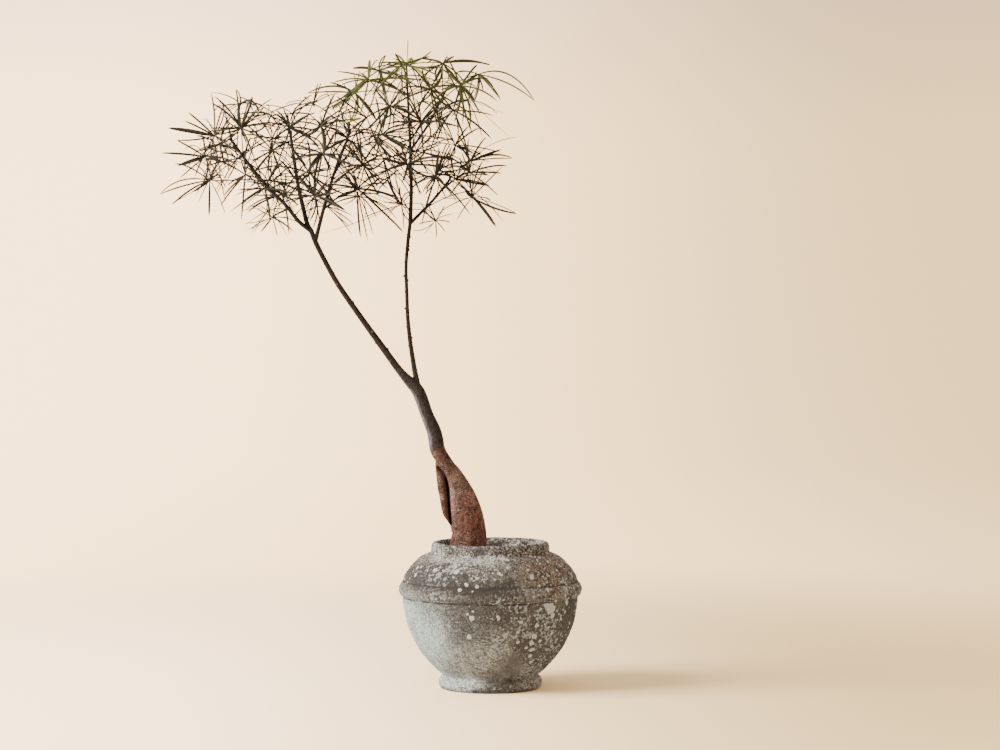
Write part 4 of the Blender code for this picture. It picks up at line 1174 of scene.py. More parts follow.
laid = step(
    "InstanceOnPoints", Points=moved, Instance=ringed, Rotation=facing.outputs[0],
    Scale=scaled((1.0, 1.0, 0.75), size),
)
whole = step("RealizeInstances", Geometry=laid)
smooth = step("SetShadeSmooth", Geometry=whole)
dressed = step("SetMaterial", Geometry=smooth, Material=given["Material"])
scarring.links.new(dressed, result["Geometry"])


# %% Setting the scars
SCARS_FROM = 0.52


def bough_paths():
    """The bare boughs as one mesh of two lines, with each point's radius."""
    points, edges, girths = [], [], []
    for rows in (eased(TRUNK, 4), eased(RIGHT_BOUGH, 4)):
        rows = [row for row in rows if row[2] > SCARS_FROM]
        first = len(points)
        points += [tuple(row[:3]) for row in rows]
        edges += [(first + i, first + i + 1) for i in range(len(rows) - 1)]
        girths += [row[3] for row in rows]
    mesh = bpy.data.meshes.new("bough_paths")
    mesh.from_pydata(points, edges, [])
    mesh.attributes.new("girth", "FLOAT", "POINT").data.foreach_set("value", girths)
    return mesh


scars = grown("leaf_scars", bough_paths(), scarring, Spacing=0.0190, Material=scar)
finish_piece(scars, "bark")

# %% [markdown]
# ## Foliage
#
# Each leaf is a thin stalk with a star of eight to twelve narrow leaflets round its end. The places of the
# leaves, and of the leaflets that draw the crown's outline, are given. The rest is drawn by chance from a
# fixed seed, with a check that nothing grows through its neighbour, so the crown is the same in every run
# and leaf for leaf the one in the model. More leaves are then drawn the same way between them.

# %% Measured stems
# A leaf is (hub's x, hub's z, size, places x, z where its leaflets' tips show in the outline)
STUB = 0.012
STEMS = {
    "stem_far_left": {
        "grows_from": "trunk",
        "path": [
            (-0.2951, -0.03, 0.7528), (-0.3162, -0.031, 0.7699), (-0.3372, -0.033, 0.7959),
            (-0.3653, -0.037, 0.8249), (-0.3974, -0.041, 0.863), (-0.4275, -0.046, 0.9041),
        ],
        "radii": (0.0025, 0.0017),
        "leaves": [
            (-0.3592, 0.7759, 0.6, [(-0.3251, 0.7528), (-0.3792, 0.7508), (-0.3972, 0.7558)]),
            (-0.3422, 0.8129, 1.0, []), (-0.3573, 0.8359, 1.0, []), (-0.3723, 0.8239, 1.0, []),
            (-0.4033, 0.846, 1.0, []),
            (-0.4624, 0.8369, 1.1, [(-0.5454, 0.8139), (-0.5243, 0.7969), (-0.4642, 0.7789)]),
            (-0.4154, 0.873, 1.0, []),
            (-0.4694, 0.876, 1.0, [(-0.5165, 0.9031), (-0.5425, 0.882), (-0.5165, 0.86)]),
            (-0.4465, 0.897, 0.9, []),
            (-0.4545, 0.9101, 1.1, [(-0.5326, 0.9231), (-0.5026, 0.9341), (-0.4976, 0.9492),
                (-0.4596, 0.9812)]),
            (-0.4105, 0.9231, 1.0, [(-0.4186, 0.9873), (-0.3925, 0.9752), (-0.3725, 0.9572)]),
        ],
    },
    "stem_middle": {
        "grows_from": "trunk",
        "path": [
            (-0.2951, -0.03, 0.7528), (-0.3021, -0.024, 0.7659), (-0.3092, -0.01, 0.7949),
            (-0.3162, 0.006, 0.8259), (-0.3213, 0.02, 0.858), (-0.3273, 0.034, 0.8991),
            (-0.3344, 0.046, 0.9432),
        ],
        "radii": (0.0031, 0.0015),
        "leaves": [
            (-0.2892, 0.8119, 1.0, [(-0.2381, 0.7869)]), (-0.3182, 0.8339, 1.0, []),
            (-0.2973, 0.848, 1.0, []), (-0.3594, 0.886, 1.1, []), (-0.3344, 0.9001, 1.0, []),
            (-0.3304, 0.9241, 0.9, [(-0.3574, 0.9411)]),
            (-0.3264, 0.9472, 0.9, [(-0.2864, 0.9672), (-0.2984, 0.9462)]),
        ],
    },
    "stem_inner": {
        "grows_from": "trunk",
        "path": [
            (-0.2881, -0.0285, 0.7378), (-0.2811, -0.036, 0.7659), (-0.2712, -0.048, 0.8029),
            (-0.2552, -0.064, 0.855), (-0.2353, -0.078, 0.9061), (-0.2323, -0.084, 0.9331),
        ],
        "radii": (0.0025, 0.0013),
        "leaves": [
            (-0.2182, 0.8229, 1.25, [(-0.2136, 0.7428), (-0.1441, 0.7508)]), (-0.2102, 0.862, 1.0, []),
            (-0.2763, 0.881, 1.1, []), (-0.2353, 0.9061, 1.0, []), (-0.1792, 0.9121, 1.0, []),
            (-0.2793, 0.9261, 1.0, []),
        ],
    },
    "stem_crown": {
        "grows_from": "trunk",
        "path": [
            (-0.1322, 0.03, 0.7669), (-0.1314, 0.03, 0.7819), (-0.1302, 0.03, 0.8239),
            (-0.1314, 0.029, 0.862), (-0.1326, 0.027, 0.9091), (-0.1361, 0.024, 0.9772),
            (-0.1379, 0.023, 1.0254),
        ],
        "radii": (0.0026, 0.0011),
        "leaves": [
            (-0.1461, 0.7969, 0.6, []), (-0.0901, 0.844, 1.1, []), (-0.1371, 0.863, 1.2, []),
            (-0.1221, 0.885, 1.0, []), (-0.1262, 0.9111, 1.0, []), (-0.1142, 0.9341, 1.1, []),
            (-0.1662, 0.9592, 1.1, []),
            (-0.2233, 0.9812, 1.25, [(-0.3024, 0.9802), (-0.2834, 0.9482), (-0.2633, 0.9522),
                (-0.1882, 0.9361)]),
            (-0.0982, 0.9873, 1.2, []),
            (-0.2008, 1.0023, 1.1, [(-0.1993, 1.0354), (-0.1512, 0.9853)]),
            (-0.1833, 1.0174, 1.1, [(-0.2264, 1.0224), (-0.1713, 1.0434)]),
            (-0.1452, 1.0264, 1.1, [(-0.1573, 1.0454), (-0.1823, 1.0304)]),
            (-0.0781, 1.0294, 1.2, [(0.0005, 1.0274), (-0.0601, 1.0404)]),
        ],
    },
    "stem_upper_right": {
        "grows_from": "stem_crown",
        "path": [
            (-0.1318, 0.028, 0.886), (-0.1071, 0.012, 0.9211), (-0.0931, -0.002, 0.9462),
            (-0.0729, -0.018, 0.9853),
        ],
        "radii": (0.0016, 0.0012),
        "leaves": [
            (-0.0611, 0.9522, 1.0, []), (-0.0361, 0.9682, 1.1, []), (-0.0486, 0.9923, 1.1, []),
            (-0.0196, 1.0113, 1.3, [(0.0737, 0.9672), (0.0175, 0.9692), (-0.0271, 0.9692)]),
        ],
    },
    "stem_lower_right": {
        "grows_from": "trunk",
        "path": [
            (-0.1322, 0.03, 0.7659), (-0.1083, 0.046, 0.7899), (-0.0886, 0.06, 0.8109),
            (-0.0676, 0.074, 0.8379),
        ],
        "radii": (0.002, 0.0013),
        "leaves": [
            (-0.0901, 0.7709, 0.5, []), (-0.03, 0.8089, 1.1, [(0.044, 0.7819), (0.009, 0.7589)]),
            (-0.0581, 0.8389, 1.0, [(-0.002, 0.845), (-0.002, 0.8289)]),
            (-0.034, 0.85, 1.0, [(0.019, 0.8485)]),
            (-0.034, 0.868, 1.0, [(0.019, 0.888), (0.036, 0.873)]), (-0.0581, 0.894, 1.0, []),
        ],
    },
}

# %% Outline of the crown
# Leaflets with no given tip end inside this outline, as seen from the front
CROWN_OUTLINE = [
    (-0.3251, 0.7478), (-0.4002, 0.7478), (-0.4702, 0.7749), (-0.5303, 0.7929), (-0.5474, 0.8149),
    (-0.5455, 0.8830), (-0.5356, 0.9251), (-0.5006, 0.9512), (-0.4606, 0.9833), (-0.4156, 0.9893),
    (-0.3755, 0.9682), (-0.3404, 0.9582), (-0.3024, 0.9833), (-0.2264, 1.0254), (-0.1713, 1.0454),
    (-0.1002, 1.0484), (-0.0601, 1.0414), (-0.0000, 1.0294), (0.0300, 1.0033), (0.0300, 0.9682),
    (0.0050, 0.9331), (-0.0000, 0.9031), (0.0360, 0.8730), (0.0300, 0.8029), (0.0440, 0.7809),
    (0.0100, 0.7578), (-0.0400, 0.7679), (-0.0900, 0.7428), (-0.2131, 0.7408), (-0.2701, 0.7679),
]

# %% Sizes of the leaves
SEED = 41
STALK_LENGTH = (0.050, 0.085)
STALK_RADIUS = 0.0009
STALK_ARCH = 0.12
FOOT_REACH = 0.85
FOOT_BELOW_HUB = 0.008
LEAST_STALK_DEPTH = 0.010
HUB_LOOKS_UP = 0.25
LEAFLETS = 8
LEAFLET_LENGTH = (0.055, 0.072)
LEAFLET_WIDTH = 0.0032
LEAFLET_DROOP = 0.12
LEAFLET_RISE = 0.35
GIVEN_STEPS, GIVEN_SPREAD, GIVEN_DEPTH, GIVEN_DROOP = 3, 1.4, (-0.4, 0.4), (0.3, 1.0)
FREE_STEPS, FREE_SPREADS, FREE_DROOP = 2, (1.2, 1.75), (-0.2, 1.0)
FREE_SPREAD_CHANGE, FREE_TURN_CHANGE = (-0.25, 0.25), (-0.3, 0.3)
SHOOT_LEAFLETS, SHOOT_LENGTH, SHOOT_DROOP = 5, (0.022, 0.036), 0.05
SHOOT_SPREAD, SHOOT_TURN_CHANGE = (0.35, 0.8), (-0.2, 0.2)
DRAWS, SHORTER_EACH_DRAW = 10, 0.05
NEIGHBOUR_SPACE, BOUGH_SPACE, CROWDING, SAMPLES, ROOM_STEPS = 0.0010, 0.004, 50, 20, 4


# %% Paths of the stems
def stem_rows(stem):
    """A stem's rows of x, y, z, radius, from its root to its tip."""
    path = eased(stem["path"], 3)
    first, last = stem["radii"]
    return np.column_stack((path, np.linspace(first, last, len(path))))


def stretch(rows, start, end):
    """The rows of a path between two distances along it."""
    steps = np.linalg.norm(np.diff(rows[:, :3], axis=0), axis=1)
    far = np.concatenate(([0.0], np.cumsum(steps)))
    end = min(end, far[-1])
    wanted = np.concatenate(([start], far[(far > start + 0.002) & (far < end - 0.002)], [end]))
    return np.column_stack([np.interp(wanted, far, column) for column in rows.T])


# %% Room between the leaves
def unit(vector):
    """A direction of length one."""
    return vector / np.linalg.norm(vector)


def arc(start, middle, end, steps):
    """Points from start to end on a curve that bends towards middle."""
    t = np.linspace(0, 1, steps + 1)[:, None]
    return start * (1 - t) ** 2 + middle * 2 * t * (1 - t) + end * t**2


class Space:
    """What is already taken: lines with a radius, each owned by a node and a leaf."""

    def __init__(self):
        self.starts = np.empty((0, 3))
        self.ends = np.empty((0, 3))
        self.radii = np.empty(0)
        self.nodes = np.empty(0, int)
        self.leaves = np.empty(0, int)

    def take(self, line, radius, node, leaf):
        """Marks a line as taken."""
        count = len(line) - 1
        self.starts = np.vstack((self.starts, line[:-1]))
        self.ends = np.vstack((self.ends, line[1:]))
        self.radii = np.append(self.radii, np.full(count, radius))
        self.nodes = np.append(self.nodes, np.full(count, node))
        self.leaves = np.append(self.leaves, np.full(count, leaf))

    def room(self, line, radius, node, leaf):
        """The least clear space round a line, where another node asks for more of it than its own does."""
        wanted = np.linspace(0, len(line) - 1, SAMPLES)
        spots = np.column_stack([np.interp(wanted, np.arange(len(line)), column) for column in line.T])
        others = self.leaves != leaf
        starts, ends = self.starts[others], self.ends[others]
        run = ends - starts
        offset = spots[:, None] - starts
        share = np.clip((offset * run).sum(2) / (run**2).sum(1), 0, 1)
        apart = np.linalg.norm(offset - share[..., None] * run, axis=2)
        asked = self.radii[others] + radius
        asked = asked + np.where(self.nodes[others] == node, 0.0, NEIGHBOUR_SPACE)
        return (apart - asked).min()


# %% Planning a leaf
def stalk_foot(path, x, z, reach):
    """The lowest place on a stem that a stalk of this reach can leave for a hub, or else the nearest."""
    flat = np.hypot(path[:, 0] - x, path[:, 2] - z)
    near = np.flatnonzero((flat < reach) & (path[:, 2] < z - FOOT_BELOW_HUB))
    return path[near[0]] if len(near) else path[np.argmin(flat)]


def plan_stalk(draw, space, path, x, z, node):
    """A stalk's start, bend and hub: of a few draws, the one with the most room round it."""
    best, most = None, -math.inf
    for _ in range(DRAWS):
        length = draw.uniform(*STALK_LENGTH)
        foot = stalk_foot(path, x, z, FOOT_REACH * length)
        flat = math.hypot(x - foot[0], z - foot[2])
        deep = math.sqrt(max(length**2 - flat**2, LEAST_STALK_DEPTH**2)) * draw.choice((-1, 1))
        hub = at_depth(x, foot[1] + deep, z)
        bend = (foot + hub) / 2 + np.array((0.0, 0.0, STALK_ARCH * length))
        line = arc(foot, bend, hub, ROOM_STEPS)
        room = space.room(line[1:], STALK_RADIUS, node, -1)
        open_air = space.room(np.array((hub, hub + 1e-6)), 0.0, node, -1)
        score = min(room, 0.0) * CROWDING + open_air
        if score > most:
            best, most = (foot, bend, hub), score
    return best


def leaflet_to(hub, tip, axis, droop):
    """A leaflet's three guiding points: it rises a little from the hub and then droops to its tip."""
    length = np.linalg.norm(tip - hub)
    middle = (hub + tip) / 2 + (LEAFLET_RISE * axis + np.array((0, 0, 1.0))) * droop * length
    return hub, middle, tip


def cone_direction(axis, turn, spread):
    """A direction at an angle to an axis, turned about it."""
    side = unit(np.cross(axis, (0.3, 0.9, 0.1)))
    other = np.cross(axis, side)
    flat = side * math.cos(turn) + other * math.sin(turn)
    return axis * math.cos(spread) + flat * math.sin(spread)


def inside_crown(x, z):
    """Whether a line to the right of a place crosses the crown's outline an odd number of times."""
    inside = False
    for (x0, z0), (x1, z1) in zip(CROWN_OUTLINE, CROWN_OUTLINE[1:] + CROWN_OUTLINE[:1]):
        if (z0 > z) != (z1 > z) and x < x0 + (z - z0) / (z1 - z0) * (x1 - x0):
            inside = not inside
    return inside


def plan_leaf(draw, space, axis, hub, size, tips, node, leaf):
    """The leaflets of one leaf: those with a given tip, and the rest spread evenly round the hub."""
    leaflets = []
    first_turn = draw.uniform(0, math.tau)
    turns = [first_turn + math.tau * i / LEAFLETS for i in range(LEAFLETS)]

    def try_draws(make, steps):
        for go in range(DRAWS):
            guide = make(1 - SHORTER_EACH_DRAW * go)
            line = arc(*guide, steps)
            allowed = steps == GIVEN_STEPS or inside_crown(guide[2][0], guide[2][2])
            if allowed and space.room(line, LEAFLET_WIDTH / 2, node, leaf) > 0:
                space.take(line, LEAFLET_WIDTH / 2, node, leaf)
                leaflets.append((guide, steps))
                return

    for x, z in tips:
        flat = math.hypot(x - hub[0], z - hub[2])
        towards = unit(np.array((x - hub[0], 0.0, z - hub[2])))
        turns.remove(max(turns, key=lambda turn: cone_direction(axis, turn, GIVEN_SPREAD) @ towards))

        def make_given(_, x=x, z=z, flat=flat):
            tip = at_depth(x, hub[1] + draw.uniform(*GIVEN_DEPTH) * flat, z)
            return leaflet_to(hub, tip, axis, draw.uniform(*GIVEN_DROOP) * LEAFLET_DROOP)

        try_draws(make_given, GIVEN_STEPS)
    for i, turn in enumerate(turns):

        def make_free(share, turn=turn, spread=FREE_SPREADS[i % 2]):
            turn = turn + draw.uniform(*FREE_TURN_CHANGE)
            aim = cone_direction(axis, turn, spread + draw.uniform(*FREE_SPREAD_CHANGE))
            tip = hub + aim * share * size * draw.uniform(*LEAFLET_LENGTH)
            return leaflet_to(hub, tip, axis, draw.uniform(*FREE_DROOP) * LEAFLET_DROOP)

        try_draws(make_free, FREE_STEPS)
    return leaflets


def plan_shoot(draw, space, tip, along, node, leaf):
    """The young leaflets at a stem's tip, still nearly closed."""
    leaflets = []
    for i in range(SHOOT_LEAFLETS):
        turn = math.tau * i / SHOOT_LEAFLETS + draw.uniform(*SHOOT_TURN_CHANGE)
        aim = cone_direction(along, turn, draw.uniform(*SHOOT_SPREAD))
        end = tip + aim * draw.uniform(*SHOOT_LENGTH)
        guide = leaflet_to(tip, end, along, SHOOT_DROOP)
        line = arc(*guide, FREE_STEPS)
        if space.room(line, LEAFLET_WIDTH / 2, node, leaf) > 0:
            space.take(line, LEAFLET_WIDTH / 2, node, leaf)
            leaflets.append((guide, FREE_STEPS))
    return leaflets


# %% Planning the crown
def plan_foliage():
    """For each stem, its leaves: the stalk's three guiding points, the axis, the leaflets, their kind."""
    draw = random.Random(SEED)
    space = Space()
    for rows in (eased(TRUNK, 1), eased(RIGHT_BOUGH, 1)):
        space.take(rows[:, :3], BOUGH_SPACE, -1, -2)
    paths = {}
    for node, (name, stem) in enumerate(STEMS.items()):
        rows = stem_rows(stem)
        paths[name] = stretch(rows, STUB + BOUGH_SPACE, math.inf)[:, :3]
        space.take(paths[name], stem["radii"][0], node, -1)
    plan = {name: [] for name in STEMS}
    leaf = 0
    most = max(len(stem["leaves"]) for stem in STEMS.values())
    for turn in range(most + 1):
        for node, (name, stem) in enumerate(STEMS.items()):
            leaf += 1
            if turn < len(stem["leaves"]):
                x, z, size, tips = stem["leaves"][turn]
                foot, bend, hub = plan_stalk(draw, space, paths[name], x, z, node)
                space.take(arc(foot, bend, hub, ROOM_STEPS)[1:], STALK_RADIUS, node, leaf)
                axis = unit(unit(hub - bend) + np.array((0.0, 0.0, HUB_LOOKS_UP)))
                leaflets = plan_leaf(draw, space, axis, hub, size, tips, node, leaf)
                one = {"stalk": (foot, bend, hub), "axis": axis, "leaflets": leaflets, "young": False}
            elif turn == most:
                tip = paths[name][-1]
                along = unit(tip - paths[name][-3])
                size = 1.0
                leaflets = plan_shoot(draw, space, tip, along, node, leaf)
                one = {"stalk": (None, None, tip), "axis": along, "leaflets": leaflets, "young": True}
            else:
                continue
            plan[name].append({**one, "leaf": leaf, "size": size, "thin": 0})
    return plan, space, paths, leaf


# %% The leaves of the model
plan, space, paths, leaf = plan_foliage()
print("planned:", {name: sum(len(one["leaflets"]) for one in leaves) for name, leaves in plan.items()})

# %% [markdown]
# ### More leaves
#
# The model holds only as many leaves as its crown's form needs. The living plant has more, many of them
# thin and half hidden. They are drawn here with a second seed, so that the first draws stay as they are.

# %% More leaves
MORE_SEED = 5
MORE_LEAVES = {
    "stem_far_left": 4, "stem_middle": 4, "stem_inner": 6, "stem_crown": 5, "stem_upper_right": 2,
    "stem_lower_right": 1,
}
MORE_LEAFLETS = 3
FOOT_TRIES, LEAFLET_TRIES = 30, 6
HIGHEST_FOOT, LOWEST_FOOT = 0.95, 0.15


def more_stalk(draw, space, path, node):
    """A stalk for one more leaf: of many draws, the one that ends with the most room round it."""
    best, most = None, -math.inf
    for _ in range(FOOT_TRIES):
        foot = path[int(draw.uniform(LOWEST_FOOT, HIGHEST_FOOT) * len(path))]
        turn, length = draw.uniform(0, math.tau), draw.uniform(*STALK_LENGTH)
        hub = foot + unit(np.array((math.cos(turn), math.sin(turn), draw.uniform(0.0, 0.8)))) * length
        bend = (foot + hub) / 2 + np.array((0.0, 0.0, STALK_ARCH * length))
        if inside_crown(hub[0], hub[2]):
            room = space.room(arc(foot, bend, hub, ROOM_STEPS)[1:], STALK_RADIUS, node, -1)
            open_air = space.room(np.array((hub, hub + 1e-6)), 0.0, node, -1)
            score = min(room, 0.0) * CROWDING + open_air
            if score > most:
                best, most = (foot, bend, hub), score
    return best


def more_leaflets(draw, space, one, node, count):
    """Thinner leaflets between the ones that a leaf already has."""
    hub = one["stalk"][2]
    for _ in range(count):
        for _ in range(LEAFLET_TRIES):
            aim = cone_direction(one["axis"], draw.uniform(0, math.tau), draw.uniform(0.8, 1.9))
            tip = hub + aim * one["size"] * draw.uniform(0.6, 1.0) * LEAFLET_LENGTH[1]
            guide = leaflet_to(hub, tip, one["axis"], draw.uniform(-0.3, 1.2) * LEAFLET_DROOP)
            line = arc(*guide, FREE_STEPS)
            if inside_crown(tip[0], tip[2]) and space.room(line, LEAFLET_WIDTH / 2, node, one["leaf"]) > 0:
                space.take(line, LEAFLET_WIDTH / 2, node, one["leaf"])
                one["leaflets"].append((guide, FREE_STEPS))
                one["thin"] += 1
                break


draw = random.Random(MORE_SEED)
for node, (name, leaves) in enumerate(plan.items()):
    for one in leaves:
        if not one["young"]:
            more_leaflets(draw, space, one, node, MORE_LEAFLETS)
    for _ in range(MORE_LEAVES[name]):
        leaf += 1
        stalk = more_stalk(draw, space, paths[name], node)
        if stalk:
            space.take(arc(*stalk, ROOM_STEPS)[1:], STALK_RADIUS, node, leaf)
            axis = unit(unit(stalk[2] - stalk[1]) + np.array((0.0, 0.0, HUB_LOOKS_UP)))
            size = draw.uniform(0.85, 1.15)
            leaflets = plan_leaf(draw, space, axis, stalk[2], size, [], node, leaf)
            one = {
                "stalk": stalk, "axis": axis, "leaflets": leaflets, "young": False, "leaf": leaf,
                "size": size, "thin": len(leaflets),
            }
            more_leaflets(draw, space, one, node, MORE_LEAFLETS)
            leaves.append(one)
print("with more:", {name: sum(len(one["leaflets"]) for one in leaves) for name, leaves in plan.items()})

# %% [markdown]
# ### Leaflets drawn one by one
#
# Chance gives the crown its fullness, but the eye knows a plant by its boldest strokes. Those are drawn one
# by one, as a botanical draughtsman would: for each leaf its hub, and for each leaflet a place on its way
# and its tip. A leaf that the crown doesn't have yet gets a stalk from the nearest stem.

